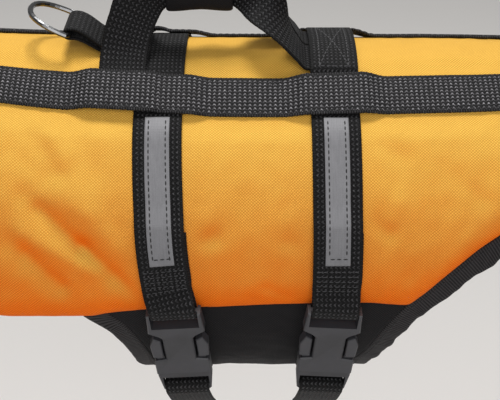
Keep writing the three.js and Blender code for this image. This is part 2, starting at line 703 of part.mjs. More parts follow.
// Webbing loop that holds the ring: up from the back, round the ring's bar and back again.
function ringLoop() {
  const half = WEBBING_THICKNESS / 2;
  const bend = RING.wire / 2 + RING_LOOP.clearance + half;
  const ground = (x) => backHeightAt(x) + GAP + half;
  const frames = [];
  const add = (x, z) => frames.push({ middle: vec(x, 0, z), across: vec(0, 1, 0) });
  const rise = (x) => (RING_BAR_Z - bend - ground(x)) * smooth((RING_LOOP.liftX + 4 - x) / 17);
  for (const x of [RING_LOOP.rootX, -70, -76, -80, -84, -88, -92]) add(x, ground(x) + Math.max(0, rise(x)));
  for (const angle of [-90, -120, -150, -180, -210, -240, -270]) {
    add(RING.barX + bend * Math.cos(rad(angle)), RING_BAR_Z + bend * Math.sin(rad(angle)));
  }
  const topRise = (x) => (RING_BAR_Z + bend - ground(x) - LAYER) * smooth((RING_LOOP.liftX + 6 - x) / 19);
  for (const x of [-92, -88, -84, -80, -76, -70, RING_LOOP.rootX]) {
    add(x, ground(x) + LAYER + Math.max(0, topRise(x)));
  }
  return ribbon(frames, RING_LOOP.width);
}

// D-ring: round wire, a straight bar in the webbing loop and a bow in front of it.
function dRing() {
  const half = RING.inside / 2 + RING.wire / 2;
  const corner = 2.4;
  const outline = new THREE.Path();
  outline.moveTo(0, -half + corner);
  outline.lineTo(0, half - corner);
  outline.quadraticCurveTo(0, half, corner, half);
  outline.bezierCurveTo(RING.reach * 0.78, half, RING.reach, half * 0.55, RING.reach, 0);
  outline.bezierCurveTo(RING.reach, -half * 0.55, RING.reach * 0.78, -half, corner, -half);
  outline.quadraticCurveTo(0, -half, 0, -half + corner);
  const points = outline.getSpacedPoints(30).slice(0, 30);
  const tilt = rad(RING.tilt);
  const forward = vec(-Math.cos(tilt), 0, Math.sin(tilt));
  const flat = vec(0, 1, 0);
  const normal = vec(0, 0, 0).crossVectors(forward, flat).normalize();
  const bar = vec(RING.barX, 0, RING_BAR_Z);
  const place = (p) => bar.clone().addScaledVector(forward, p.x).addScaledVector(flat, p.y);
  const rings = points.map((point, i) => {
    const before = place(points[(i + points.length - 1) % points.length]);
    const after = place(points[(i + 1) % points.length]);
    const side = vec(0, 0, 0).crossVectors(after.sub(before).normalize(), normal).normalize();
    const wire = RING.wire / 2;
    return steps(0, 2 * Math.PI, 8).slice(0, 8).map((angle) =>
      place(point)
        .addScaledVector(side, wire * Math.cos(angle))
        .addScaledVector(normal, wire * Math.sin(angle)),
    );
  });
  return loft(rings, true);
}

// Chest band: a padded wall from one side panel's front edge round the chest to the other.
function chestBand() {
  const across = crowded(0, 1, 6);
  const along = steps(0, Math.PI, 28);
  const start = (v) => {
    const phi = CHEST_BAND_TOP.phi + (CHEST_BAND_LOW.phi - CHEST_BAND_TOP.phi) * v;
    const edgeX = sweptX(FRONT_X, phi) - GAP;
    return onForm(edgeX, phi, BELLY_INSIDE);
  };
  const centre = across.map((v) => {
    const from = start(v);
    const reach = CHEST_BAND_TOP.reach + (CHEST_BAND_LOW.reach - CHEST_BAND_TOP.reach) * v;
    const frontZ = CHEST_BAND_TOP.frontZ + (CHEST_BAND_LOW.frontZ - CHEST_BAND_TOP.frontZ) * v;
    return along.map((angle) => {
      const forward = Math.sin(angle);
      return vec(from.x - reach * forward, from.y * Math.cos(angle), from.z + (frontZ - from.z) * forward);
    });
  });
  const normalAt = (i, j) => {
    const down = centre[Math.min(i + 1, across.length - 1)][j].clone().sub(centre[Math.max(i - 1, 0)][j]);
    const on = centre[i][Math.min(j + 1, along.length - 1)].clone().sub(centre[i][Math.max(j - 1, 0)]);
    const normal = vec(0, 0, 0).crossVectors(down, on).normalize();
    const middle = vec(-150, 0, -90);
    return normal.dot(centre[i][j].clone().sub(middle)) < 0 ? normal.negate() : normal;
  };
  const grid = (height) =>
    centre.map((row, i) =>
      row.map((point, j) => point.clone().addScaledVector(normalAt(i, j), height(across[i]))),
    );
  const rolled = (v) => roll(Math.min(v, 1 - v) * 6);
  const padded = (v) => CHEST_BAND_EDGE + (CHEST_BAND_THICKNESS - CHEST_BAND_EDGE) * rolled(v);
  return wall(grid(padded), grid(() => 0));
}

// Solid for cutting and joining, from a closed geometry.
function solidOf(geometry) {
  const plain = geometry.clone();
  plain.deleteAttribute('normal');
  if (plain.attributes.uv) plain.deleteAttribute('uv');
  const merged = mergeVertices(plain, 1e-4);
  const vertProperties = merged.attributes.position.array;
  const triVerts = Uint32Array.from(merged.index.array);
  return new wasm.Manifold(new wasm.Mesh({ numProp: 3, vertProperties, triVerts }));
}

function geometryOf(solid) {
  const mesh = solid.getMesh();
  const geometry = new THREE.BufferGeometry();
  geometry.setAttribute('position', new THREE.BufferAttribute(Float32Array.from(mesh.vertProperties), 3));
  geometry.setIndex(new THREE.BufferAttribute(Uint32Array.from(mesh.triVerts), 1));
  return geometry;
}

function box(u0, u1, w0, w1, n0, n1) {
  const geometry = new THREE.BoxGeometry(w1 - w0, u1 - u0, n1 - n0);
  geometry.translate((w0 + w1) / 2, (u0 + u1) / 2, (n0 + n1) / 2);
  return solidOf(geometry);
}

// Plate from an outline of [w, u] corners, between two heights, with eased edges.
function plate(corners, n0, n1, ease = 0.7) {
  const shape = new THREE.Shape(corners.map(([w, u]) => new THREE.Vector2(w, u)));
  const geometry = new THREE.ExtrudeGeometry(shape, {
    depth: n1 - n0 - 2 * ease,
    bevelEnabled: true,
    bevelThickness: ease,
    bevelSize: ease,
    bevelOffset: -ease,
    bevelSegments: 1,
  });
  geometry.translate(0, 0, n0 + ease);
  return solidOf(geometry);
}

const mirrored = (corners) => [...corners, ...corners.slice().reverse().map(([w, u]) => [-w, u])];

// Upper half of the buckle: strap slot, neck between two side windows, mouth.
function buckleSocket() {
  const b = BUCKLE;
  const half = b.width / 2;
  const outline = mirrored([
    [half - 0.7, 0],
    [half - 0.3, 7],
    [half + 0.2, b.flangeLength - 2.6],
    [b.neckHalf + 1.6, b.flangeLength + 0.6],
    [b.neckHalf, b.flangeLength + 2.4],
    [b.neckHalf, b.windowEnd - 1],
    [half - 0.6, b.windowEnd],
    [half, b.windowEnd + 1.2],
    [half, b.mouthEnd],
  ]);
  let solid = plate(outline, 0, b.thickness);
  const slotFrom = b.barLength;
  solid = solid.subtract(
    box(slotFrom, slotFrom + b.slotLength, -b.slotWidth / 2, b.slotWidth / 2, -1, b.thickness + 1),
  );
  const bar = { low: (b.thickness - b.barThickness) / 2, high: (b.thickness + b.barThickness) / 2 };
  const barHalf = b.slotWidth / 2;
  solid = solid.subtract(box(-1, slotFrom + 0.5, -barHalf, barHalf, bar.high, b.thickness + 1));
  solid = solid.subtract(box(-1, slotFrom + 0.5, -barHalf, barHalf, -1, bar.low));
  for (const side of [-1, 1]) {
    const edges = [side * (b.neckHalf + 0.6), side * (half - b.rimWall)].sort((p, q) => p - q);
    solid = solid.subtract(
      box(b.windowEnd - 2, b.mouthEnd + 1, edges[0], edges[1], b.rimWall, b.thickness - b.rimWall),
    );
  }
  return solid;
}

// Lower half: two sprung arms with thumb tabs in the windows, and a strap ladder.
function buckleProng() {
  const b = BUCKLE;
  const half = b.width / 2;
  const clear = b.armClear;
  const low = b.rimWall + clear;
  const high = b.thickness - b.rimWall - clear;
  const inside = b.neckHalf + 0.6 + clear;
  const outside = half - b.rimWall - clear;
  const ladderLow = (b.thickness - b.ladderThickness) / 2;
  const ladderEnd = LADDER_START + b.ladderLength;
  const ladder = mirrored([
    [half, b.mouthEnd + GAP],
    [half, LADDER_START + 2],
    [half - 1.6, ladderEnd - 1.5],
    [half - 3, ladderEnd],
  ]);
  let solid = plate(ladder, ladderLow, ladderLow + b.ladderThickness);
  const slotHalf = b.slotWidth / 2;
  solid = solid.subtract(box(LADDER_SLOT.from, LADDER_SLOT.to, -slotHalf, slotHalf, -1, b.thickness + 1));
  for (const side of [-1, 1]) {
    const edges = [side * inside, side * outside].sort((p, q) => p - q);
    const arm = box(b.windowEnd - 2.4, b.mouthEnd + 1.4, edges[0], edges[1], low, high);
    const corners = [
      [inside + 0.3, b.flangeLength + 4.6],
      [outside - 0.3, b.flangeLength + 2.2],
      [half + 0.7, b.flangeLength + 8],
      [half + 0.2, b.windowEnd - 2.4],
      [outside, b.windowEnd - 2.1],
      [inside + 0.3, b.windowEnd - 2.1],
    ];
    const tab = plate(corners.map(([w, u]) => [side * w, u]), 0.6, b.thickness - 0.6, 0.5);
    solid = solid.add(arm).add(tab);
  }
  return solid;
}

// Places a buckle half: local width, length and thickness become the buckle's own axes.
function placeBuckle(solid, buckle) {
  const frame = buckleFrame(buckle);
  const geometry = geometryOf(solid);
  const zero = onBuckle(frame, 0, 0, 0);
  const matrix = new THREE.Matrix4().makeBasis(frame.w, frame.u, frame.n).setPosition(zero);
  geometry.applyMatrix4(matrix);
  if (matrix.determinant() < 0) {
    const index = geometry.index.array;
    for (let i = 0; i < index.length; i += 3) {
      [index[i + 1], index[i + 2]] = [index[i + 2], index[i + 1]];
    }
  }
  return geometry;
}

const FINISHES = {
  orange_cloth: { color: 0xf59a1c, roughness: 0.85, metalness: 0 },
  black_cloth: { color: 0x1d1c1f, roughness: 0.8, metalness: 0 },
  black_webbing: { color: 0x17171a, roughness: 0.7, metalness: 0 },
  black_binding: { color: 0x1b191c, roughness: 0.75, metalness: 0 },
  reflective_tape: { color: 0x8d8f96, roughness: 0.45, metalness: 0.1 },
  buckle_plastic: { color: 0x46464c, roughness: 0.5, metalness: 0 },
  ring_steel: { color: 0xc9ccd2, roughness: 0.25, metalness: 1 },
};

const jacket = new THREE.Group();

function addPiece(name, geometry, finish) {
  const mesh = new THREE.Mesh(geometry, new THREE.MeshStandardMaterial(FINISHES[finish]));
  mesh.name = name;
  jacket.add(mesh);
}

addPiece('back_panel', backPanel(), 'orange_cloth');
addPiece('side_panel_near', sidePanel(1), 'orange_cloth');
addPiece('side_panel_far', sidePanel(-1), 'orange_cloth');
addPiece('belly_panel', bellyPanel(), 'black_cloth');
addPiece('chest_band', chestBand(), 'black_cloth');
addPiece('rear_binding', rearBinding(), 'black_binding');
addPiece('belly_front_binding', bellyFrontBinding(), 'black_binding');
addPiece('neck_binding', neckBinding(), 'black_binding');
addPiece('back_webbing_near', backWebbing(1), 'black_webbing');
addPiece('back_webbing_far', backWebbing(-1), 'black_webbing');
const girths = [
  { place: 'front', strap: FRONT_STRAP, buckle: FRONT_BUCKLE, overFoot: 0 },
  { place: 'rear', strap: REAR_STRAP, buckle: REAR_BUCKLE, overFoot: 1.95 },
];
for (const { place, strap, buckle, overFoot } of girths) {
  addPiece(`girth_strap_${place}`, girthStrap(strap, buckle, overFoot), 'black_webbing');
  addPiece(`reflective_${place}_near`, reflectiveStrip(strap, 1), 'reflective_tape');
  addPiece(`reflective_${place}_far`, reflectiveStrip(strap, -1), 'reflective_tape');
  addPiece(`buckle_socket_${place}`, placeBuckle(buckleSocket(), buckle), 'buckle_plastic');
  addPiece(`buckle_prong_${place}`, placeBuckle(buckleProng(), buckle), 'buckle_plastic');
}
addPiece('handle_webbing_near', handleWebbing(1), 'black_webbing');
addPiece('handle_webbing_far', handleWebbing(-1), 'black_webbing');
addPiece('handle_grip', gripSleeve(), 'black_cloth');
addPiece('ring_loop', ringLoop(), 'black_webbing');
addPiece('d_ring', dRing(), 'ring_steel');

export default jacket;
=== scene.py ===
import math

import bpy
import numpy as np
from bpy.props import FloatProperty, FloatVectorProperty, PointerProperty
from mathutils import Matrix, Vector, noise


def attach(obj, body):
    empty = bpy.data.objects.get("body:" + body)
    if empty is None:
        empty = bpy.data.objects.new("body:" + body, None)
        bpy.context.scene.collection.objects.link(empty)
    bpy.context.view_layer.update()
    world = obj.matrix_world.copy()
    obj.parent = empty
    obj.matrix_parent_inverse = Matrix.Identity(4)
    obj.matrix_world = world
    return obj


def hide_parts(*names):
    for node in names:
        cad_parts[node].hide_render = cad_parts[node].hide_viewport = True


bl_info = {
    "name": "Dog life jacket",
    "version": (1, 0, 0),
    "blender": (4, 5, 0),
    "location": "3D View > Sidebar > Jacket",
    "description": "Cloth, webbing, buckles and stitching of a dog life jacket",
    "category": "Object",
}

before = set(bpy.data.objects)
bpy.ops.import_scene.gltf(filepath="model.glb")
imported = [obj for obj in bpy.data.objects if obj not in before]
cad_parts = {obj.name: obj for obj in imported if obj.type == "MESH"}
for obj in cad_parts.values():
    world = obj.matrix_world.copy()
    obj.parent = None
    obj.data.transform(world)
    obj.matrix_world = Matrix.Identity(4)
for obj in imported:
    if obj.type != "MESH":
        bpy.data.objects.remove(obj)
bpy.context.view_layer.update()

# Lengths in these tables are millimetres and angles degrees from the spine, positive on the
# buckle side. Rows are a place along the body, then the value there.
HALF_WIDTH = [(-205, 74), (-160, 82), (-100, 86), (0, 86), (100, 85), (160, 81), (200, 76)]
HALF_HEIGHT = [(-205, 84), (-160, 91), (-100, 94), (0, 93.5), (100, 92.5), (160, 88.5), (200, 83.5)]
SPINE = [(-205, 9), (-160, 5), (-100, 2), (0, 0), (100, 0), (160, -1), (200, -4)]
WEBBING_LINE = [
    (-200, 18.2), (-130, 21.2), (-77, 23.3), (-25, 24.1), (20, 24.3), (78, 23.3), (130, 22.5),
    (195, 17.2),
]
LOWER_EDGE = [
    (-200, 100.5), (-131, 99.2), (-110, 97.7), (-92, 97.1), (-84, 96.9), (-74, 95.4), (-63, 94.4),
    (-21, 92.6), (21, 91.5), (63, 91.5), (73, 92.1), (81.6, 92.6), (88.5, 89.5), (98, 83.7),
    (107.5, 78.3), (117, 73.4), (126, 69.8), (150, 60.3), (170, 48), (181, 37.5), (188, 30), (193, 22.5),
    (195, 19),
]
# Rows of these four are an angle from the spine, then the place along the body.
BELLY_FRONT = [(91.5, -76.5), (98.5, -66.6), (107, -60), (118.5, -55), (148, -51.5), (180, -50)]
BELLY_REAR = [(91.5, 82.5), (104.5, 71), (119, 63), (126, 59), (180, 53)]
FRONT_STRAP = [(0, -46.5), (32, -46.9), (67, -45.4), (85, -42.4), (96, -38.6), (115, -35.5), (180, -34.5)]
REAR_STRAP = [(0, 44), (32, 43.6), (81, 44.3), (96, 42.6), (115, 40.5), (180, 39.5)]

GAP = 0.3
FRONT_X = -200
TAIL_X = 195
EDGE_THICKNESS = 4
SEWN_THICKNESS = 6.5
FOAM_THICKNESS = 9
EDGE_ROLL = 17
STRAP_PRESS = 1.1
BELLY_INSIDE = 0.5
BELLY_OUTSIDE = 3.5
WEBBING_WIDTH = 25
WEBBING_THICKNESS = 1.5
LAYER = WEBBING_THICKNESS + GAP
HALF_WEBBING = WEBBING_THICKNESS / 2
MM_PER_DEGREE = math.radians(1) * 97
SIDES = (("near", 1), ("far", -1))
# The belly panel: its gap to the foam panels, half its angle, and where the rear edge starts to slant.
SEAM_GAP = 0.45
BELLY_SPREAD = 88
SLANT_FROM = 84
# How far the front and tail edges are swept at an angle, and over which stretch they bend.
FRONT_SWEEP = {"depth": 35, "phi": 95, "power": 2.2, "end": -130, "reach": 70}
TAIL_SWEEP = {"depth": 5, "phi": 20, "start": 160, "reach": 35}
# Beside a strap the foam is pressed down over a stretch, and beside the long webbing it puffs up.
PRESS_START, PRESS_REACH = 0.5, 12
PUFF_START, PUFF_REACH = 3, 13
UNDER_STRAP_ACROSS = (-12.5, -6, 0, 6, 12.5)
UNDER_STRAP_TURNS = (-2.5, 0, 2.5)
# The long webbing rises over what it crosses, by so many layers.
RISE_FROM, RISE_LENGTH = 15, 14
LAYERS_OVER = {"front": 1.2, "foot": 2.1, "rear": 1.35}
FOOT_HALF = 13.5
# Where the webbings are read: steps along them, and angles of a girth strap's doubled end.
BAND_STEP = 2.6 / 3
DOUBLED_PHIS = (67, 70.5, 74, 77.5, 81)
FOOT_PHI = 16.8
STRIP_PHIS = (*np.linspace(32.5, 59, 6), 62, 64.5, 67, 70.5, 76)
STRIP_WIDTH = 12.5
STRIP_THICKNESS = 0.5

# Folds of the side panels: from place and angle, to place and angle, depth and half width.
NEAR_FOLDS = [
    (-112, 58, -85, 72.7, 1.5, 7), (-85, 72.7, -57, 88, 1.3, 6), (-122, 72, -97, 86, 1.2, 7),
    (-90, 36, -79, 50, 0.8, 8), (-160, 40, -138, 62, 1.3, 9), (70, 36, 74, 50, 0.8, 7),
    (64, 62, 62, 86, 0.8, 6), (128, 36, 150, 50, 1.1, 8),
]
FAR_FOLDS = [
    (-120, 52, -82, 70, 1.4, 7), (-78, 74, -60, 86, 1.1, 6), (-165, 48, -136, 66, 1.4, 8),
    (-20, 70, -26, 84, 0.7, 6), (66, 44, 80, 62, 1.0, 8), (120, 34, 142, 52, 1.2, 8),
]
# Finer creases on top of the folds; a negative depth is a ridge.
NEAR_CREASES = [
    (-105.6, 61, -85.3, 72, 1.3, 4.5), (-85.3, 72, -56, 87, 1.1, 4), (-113, 74.6, -97, 84, 1.2, 4.5),
    (-92.6, 56.5, -61.3, 73, -1.2, 6), (-113, 68.5, -79, 79, -1, 5), (-34, 69.8, -18, 68.6, 1.1, 5.5),
    (-65, 66, -66, 68, 0.7, 5), (66, 41, 78, 45, 1, 6), (61, 64, 70, 67, 0.9, 5),
    (33, 70.4, 20, 69.8, 0.9, 5.5), (-118, 34, -96, 50, 1, 6), (-98, 40, -80, 60, -0.9, 6),
    (63.7, 84, 64, 87, 0.5, 4), (30, 62, 27, 86, 0.35, 4), (-31, 40, -27, 58, 0.35, 5),
    (96, 48, 118, 58, 0.5, 5), (-118, 44, -104, 52, 0.6, 5), (8, 84, 20, 88, 0.4, 3),
]
FAR_CREASES = [
    (-108, 58, -80, 70, 0.6, 4), (-140, 60, -120, 78, 0.5, 4), (-62, 60, -60, 80, 0.4, 4),
    (60, 50, 66, 78, 0.5, 4), (100, 44, 124, 56, 0.6, 5), (-10, 72, 14, 86, 0.4, 4),
]

BUCKLE = {
    "thickness": 7.5, "slot": 7, "bar": 2.8, "strap_width": 24.2, "mouth": 46.5,
    "ladder_thickness": 4.4, "bend": 3.05, "middle_phi": 105.8, "rise": 7.7, "above": 21, "tilt": 6,
}
LADDER_TO = BUCKLE["mouth"] + 1.6 + 10
# The strap's loose end bends away with the body, and its rows off the form have this for an angle.
TWICE_BODY_RADIUS = 194
OFF_FORM = 400
# The near handle webbing: its middle, and the direction across it.
HANDLE_PATH = [
    (-65.8, -17.2, 14.2, 1, 0, 0), (-63.8, -12.5, 22.5, 0.97, 0, -0.22), (-59.5, -7.4, 32.5, 0.82, 0, -0.57),
    (-53.5, -3.2, 40.5, 0.55, 0, -0.83), (-47, -1.5, 44.5, 0.25, 0, -0.97), (-36, -1.25, 46.9, 0.08, 0, -1),
    (-26, -1.25, 47.4, 0, 0, -1), (-16, -1.25, 46.9, -0.08, 0, -1), (-6, -1.6, 44.8, -0.22, 0, -0.97),
    (2.5, -4.4, 40.6, -0.42, -0.25, -0.86), (10, -9.6, 33, -0.4, -0.7, -0.57),
    (17.5, -12.6, 23, -0.14, -0.96, -0.22), (24.5, -13, 14, 0, -0.985, -0.17),
]
GRIP = {"from": -44, "to": -9, "height": 32.6, "depth": 13.5, "in_height": 29.4, "in_depth": 9.2}
RING = {"wire": 3, "bar_x": -95, "bar_rise": 10.5, "root_x": -62, "lift_x": -80, "clearance": 0.35}
# The chest band's two edges: angle where it starts, reach forward, and height in front.
CHEST_TOP = (72, 47, -78)
CHEST_LOW = (94, 36, -121)
CHEST_THICKNESS = 4
CHEST_EDGE = 1.4
CHEST_MIDDLE = (-150, 0, -90)
# The handle's webbings start under the long webbings and end beside the spine, a little narrower.
HANDLE_FOOT_X = -66.5
HANDLE_FOOT_PHIS = (22, 19, 16)
HANDLE_END_PHI = 7.35
HANDLE_END_X = (29.5, 34, 39)
HANDLE_NARROWS = 1.4

LONG_WEBBING = (-197, 186)
TAPE_STEP = 0.9
MITRE = 10
# Where the sewing runs: rows over a strap's doubled end, the box with its cross, and the seams.
SEWN_ROWS = 5
SEWN_PHIS = (83.5, 77.6)
SEWN_HALF = 10.8
BOX_PHIS = (14, -12)
BOX_HALF = 7.5
STRIP_SEAM = {"start": 1.5, "before_end": 3.6, "half": 4.3}
LOOP_SEAM = {"last": 2, "first": 16, "half": 10}
LONG_SEAM = 0.41
# Each sewing: thread, slot of what carries it, and a stitch's length, gap, width and height.
SEWING = {
    "seam": ("dark_thread", "black_webbing", 2.4, 1.2, 0.6, 0.3),
    "box": ("grey_thread", "black_webbing", 2.2, 0.9, 0.6, 0.35),
    "strip": ("dark_thread", "reflective_tape", 2.2, 1.0, 0.75, 0.22),
    "tape": ("dark_thread", "black_binding", 2.0, 1.1, 0.45, 0.25),
}
# A stitch: share of its length from the middle, share of its thickness.
STITCH_FORM = ((-0.5, 0), (-0.3, 0.8), (0, 1), (0.3, 0.8), (0.5, 0))
STITCH_SIDES = 6
TUFT_PITCH = 2.25
RIB_PITCH = 1.45
LINE_POINTS = 24
# Size in metres of a millimetre, and the name of the layer that holds places on the flat cloth.
MM = 0.001
WEAVE = "weave"

# Metres and degrees; the focal length is in pixels of a picture of that width.
CAMERA = {"elevation": 33, "away": 0.6, "aim_z": -0.09, "focal_px": 1010, "photo_px": 500, "sensor": 36}
FLOOR_HALF = 6.0
LIGHTS = {
    "key": {
        "place": (-0.06, 0.3, 1.3), "aim": (0, 0, -0.03), "size": (0.42, 0.42), "colour": (1, 0.99, 0.97),
    },
    "fill": {
        "place": (0.1, -1.5, 0.75), "aim": (0, 0, -0.1), "size": (1.6, 1.2), "colour": (1, 0.99, 0.98),
    },
}
ROOM_COLOUR = (1, 0.995, 0.985, 1)


def cubic(start, end, leaving, arriving, t, span):
    """Between two values, with the slope at each."""
    rest = 1 - t
    ends = start * (1 + 2 * t) * rest**2 + end * t**2 * (3 - 2 * t)
    return ends + span * (leaving * t * rest**2 - arriving * t**2 * rest)


class Table:
    """A value along the jacket, read without overshoot between its rows."""

    def __init__(self, rows):
        self.at, self.value = np.array(rows, float).T
        slope = np.diff(self.value) / np.diff(self.at)
        before, after = slope[:-1], slope[1:]
        total = np.where(before * after > 0, before + after, 1)
        inner = np.where(before * after > 0, 2 * before * after / total, 0)
        self.tangent = np.concatenate([slope[:1], inner, slope[-1:]])

    def __call__(self, at):
        at = np.clip(np.asarray(at, float), self.at[0], self.at[-1])
        i = np.clip(np.searchsorted(self.at, at, side="right") - 1, 0, len(self.at) - 2)
        span = self.at[i + 1] - self.at[i]
        t = (at - self.at[i]) / span
        return cubic(self.value[i], self.value[i + 1], self.tangent[i], self.tangent[i + 1], t, span)


half_width = Table(HALF_WIDTH)
half_height = Table(HALF_HEIGHT)
spine = Table(SPINE)
webbing_line = Table(WEBBING_LINE)
lower_edge = Table(LOWER_EDGE)
belly_front = Table(BELLY_FRONT)
belly_rear = Table(BELLY_REAR)
front_strap = Table(FRONT_STRAP)
rear_strap = Table(REAR_STRAP)


def smooth(t):
    t = np.clip(t, 0, 1)
    return t * t * (3 - 2 * t)


def roll(t):
    return np.sqrt(1 - (1 - np.clip(t, 0, 1)) ** 2)


def unit(vectors):
    return vectors / np.linalg.norm(vectors, axis=-1, keepdims=True)


def strap_x(strap, phi):
    around = np.abs(phi)
    return strap(np.where(around > 180, 360 - around, around))


def form_normal(x, phi):
    angle = np.radians(phi)
    across = -np.sin(angle) / half_width(x)
    upward = np.cos(angle) / half_height(x)
    return unit(np.stack([np.zeros_like(across), across, upward], -1))


def on_form(x, phi, height):
    """Points at a height above the jacket's inner form."""
    x, phi, height = np.broadcast_arrays(*(np.asarray(v, float) for v in (x, phi, height)))
    angle = np.radians(phi)
    y = -half_width(x) * np.sin(angle)
    z = spine(x) - half_height(x) * (1 - np.cos(angle))
    return np.stack([x, y, z], -1) + form_normal(x, phi) * height[..., None]


def swept_x(x, phi):
    """Front and tail edges are swept, so a column of the panels bends near each end."""
    around = np.abs(phi)
    front, tail = FRONT_SWEEP, TAIL_SWEEP
    forward = front["depth"] * (around / front["phi"]) ** front["power"]
    forward = forward * smooth((front["end"] - x) / front["reach"])
    backward = tail["depth"] * (around / tail["phi"]) ** 2 * smooth((x - tail["start"]) / tail["reach"])
    side = tail["phi"] / np.maximum(around, tail["phi"])
    return x + forward - backward * np.where(around <= tail["phi"], 1, side)


def fold_depth(rows, x, phi):
    depth = np.zeros(np.broadcast(x, phi).shape)
    for from_x, from_phi, to_x, to_phi, deep, reach in rows:
        dx = to_x - from_x
        dy = (to_phi - from_phi) * MM_PER_DEGREE
        px = x - from_x
        py = (np.abs(phi) - from_phi) * MM_PER_DEGREE
        t = np.clip((px * dx + py * dy) / (dx * dx + dy * dy), 0, 1)
        depth += deep * np.exp(-((px - t * dx) ** 2 + (py - t * dy) ** 2) / reach**2)
    return depth


def strap_pressure(x, phi):
    pressed = 0
    for strap in (front_strap, rear_strap):
        away = np.abs(x - strap_x(strap, phi)) - WEBBING_WIDTH / 2
        pressed = pressed + 1 - smooth((away - PRESS_START) / PRESS_REACH)
    return pressed


def foam_parts(column, phi):
    """Shares of the rolled edge and of the puff beside the long webbing, and what is left below."""
    around = np.abs(phi)
    low = (lower_edge(column) - around) * MM_PER_DEGREE
    edge = roll(low / EDGE_ROLL) * roll((column - FRONT_X) / EDGE_ROLL)
    edge = edge * roll((TAIL_X + 1 - column) / EDGE_ROLL)
    beside = np.abs(around - webbing_line(column)) * MM_PER_DEGREE
    return edge, smooth((beside - WEBBING_WIDTH / 2 - PUFF_START) / PUFF_REACH), low


def foam_height(column, phi):
    """Height of the foam panels' outer face, as the solids have it."""
    column, phi = np.broadcast_arrays(np.asarray(column, float), np.asarray(phi, float))
    x = swept_x(column, phi)
    edge, puff, _ = foam_parts(column, phi)
    pressed = strap_pressure(x, phi)
    fold = np.where(phi >= 0, fold_depth(NEAR_FOLDS, x, phi), fold_depth(FAR_FOLDS, x, phi))
    shaped = STRAP_PRESS * pressed + fold * (1 - pressed)
    sewn = EDGE_THICKNESS + (SEWN_THICKNESS - EDGE_THICKNESS) * edge
    return sewn + (FOAM_THICKNESS - SEWN_THICKNESS - shaped) * edge * puff


def under_strap(x, phi):
    """Highest face of the jacket under a girth strap, over its width and a step along it."""
    height = np.full(np.shape(phi), float(BELLY_OUTSIDE))
    for dx in UNDER_STRAP_ACROSS:
        for turn in UNDER_STRAP_TURNS:
            on_foam = np.abs(phi + turn) < lower_edge(x + dx)
            height = np.where(on_foam, np.maximum(height, foam_height(x + dx, phi + turn)), height)
    return height


def ripple(x, y, size, seed):
    """Soft noise over a surface, about -1 to 1, with lumps of that size in millimetres."""
    flat_x, flat_y = np.ravel(x) / size, np.ravel(y) / size
    values = [noise.noise((a, b, seed)) for a, b in zip(flat_x, flat_y)]
    return np.array(values).reshape(np.shape(x)) * 1.6


def wrinkles(column, phi, depth):
    """What the cloth adds to the foam's face: creases, puckers at the seams and soft lumps."""
    x = swept_x(column, phi)
    arc = phi * MM_PER_DEGREE
    edge, puff, low = foam_parts(column, phi)
    crease = np.where(phi >= 0, fold_depth(NEAR_CREASES, x, phi), fold_depth(FAR_CREASES, x, phi))
    lumps = 0.42 * ripple(x, arc, 24, 3.7) + 0.16 * ripple(x, arc, 9, 8.2)
    drawn = ripple(x * 0.9 + 0.35 * arc, arc * 0.35, 7.5, 5.1)
    hem = np.exp(-np.maximum(low, 0) / 8) * ripple(x, arc * 0.12, 5.2, 1.3)
    beside = (np.abs(np.abs(phi) - webbing_line(column))) * MM_PER_DEGREE - WEBBING_WIDTH / 2
    seam = np.exp(-np.maximum(beside, 0) / 6) * ripple(x, arc * 0.1, 6, 2.9)
    free = 1 - np.clip(strap_pressure(x, phi), 0, 1)
    lifted = (lumps - crease + 0.22 * drawn) * puff * free * edge
    return depth * (lifted + (0.3 * hem + 0.28 * seam * (beside > 0)) * free * smooth(low / 3))


def faces_of_grid(rows, columns, start=0):
    i, j = np.meshgrid(np.arange(rows - 1), np.arange(columns - 1), indexing="ij")
    a = start + i * columns + j
    return np.stack([a, a + columns, a + columns + 1, a + 1], -1).reshape(-1, 4)


def volume_of(points, faces):
    total = 0
    for face in faces:
        corners = points[face]
        for k in range(1, face.shape[1] - 1):
            turned = np.cross(corners[:, k], corners[:, k + 1])
            total += (corners[:, 0] * turned).sum()
    return total


def linked(name, data):
    """An object in the scene with that mesh, light or lens."""
    made = bpy.data.objects.new(name, data)
    bpy.context.scene.collection.objects.link(made)
    return made


def piece(name, points, faces, weave, finish, slot):
    """A closed mesh from points in millimetres and lists of like faces."""
    points = np.asarray(points, float).reshape(-1, 3)
    faces = [np.asarray(face, int) for face in faces]
    if volume_of(points, faces) < 0:
        faces = [face[:, ::-1] for face in faces]
    mesh = bpy.data.meshes.new(name)
    mesh.from_pydata((points * MM).tolist(), [], [row.tolist() for face in faces for row in face])
    mesh.polygons.foreach_set("use_smooth", [True] * len(mesh.polygons))
    corner = np.zeros(len(mesh.loops), int)
    mesh.loops.foreach_get("vertex_index", corner)
    layer = mesh.uv_layers.new(name=WEAVE)
    layer.uv.foreach_set("vector", np.asarray(weave, np.float32).reshape(-1, 2)[corner].ravel())
    mesh.update()
    mesh.materials.append(finish)
    made = linked(name, mesh)
    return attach(made, "jacket")


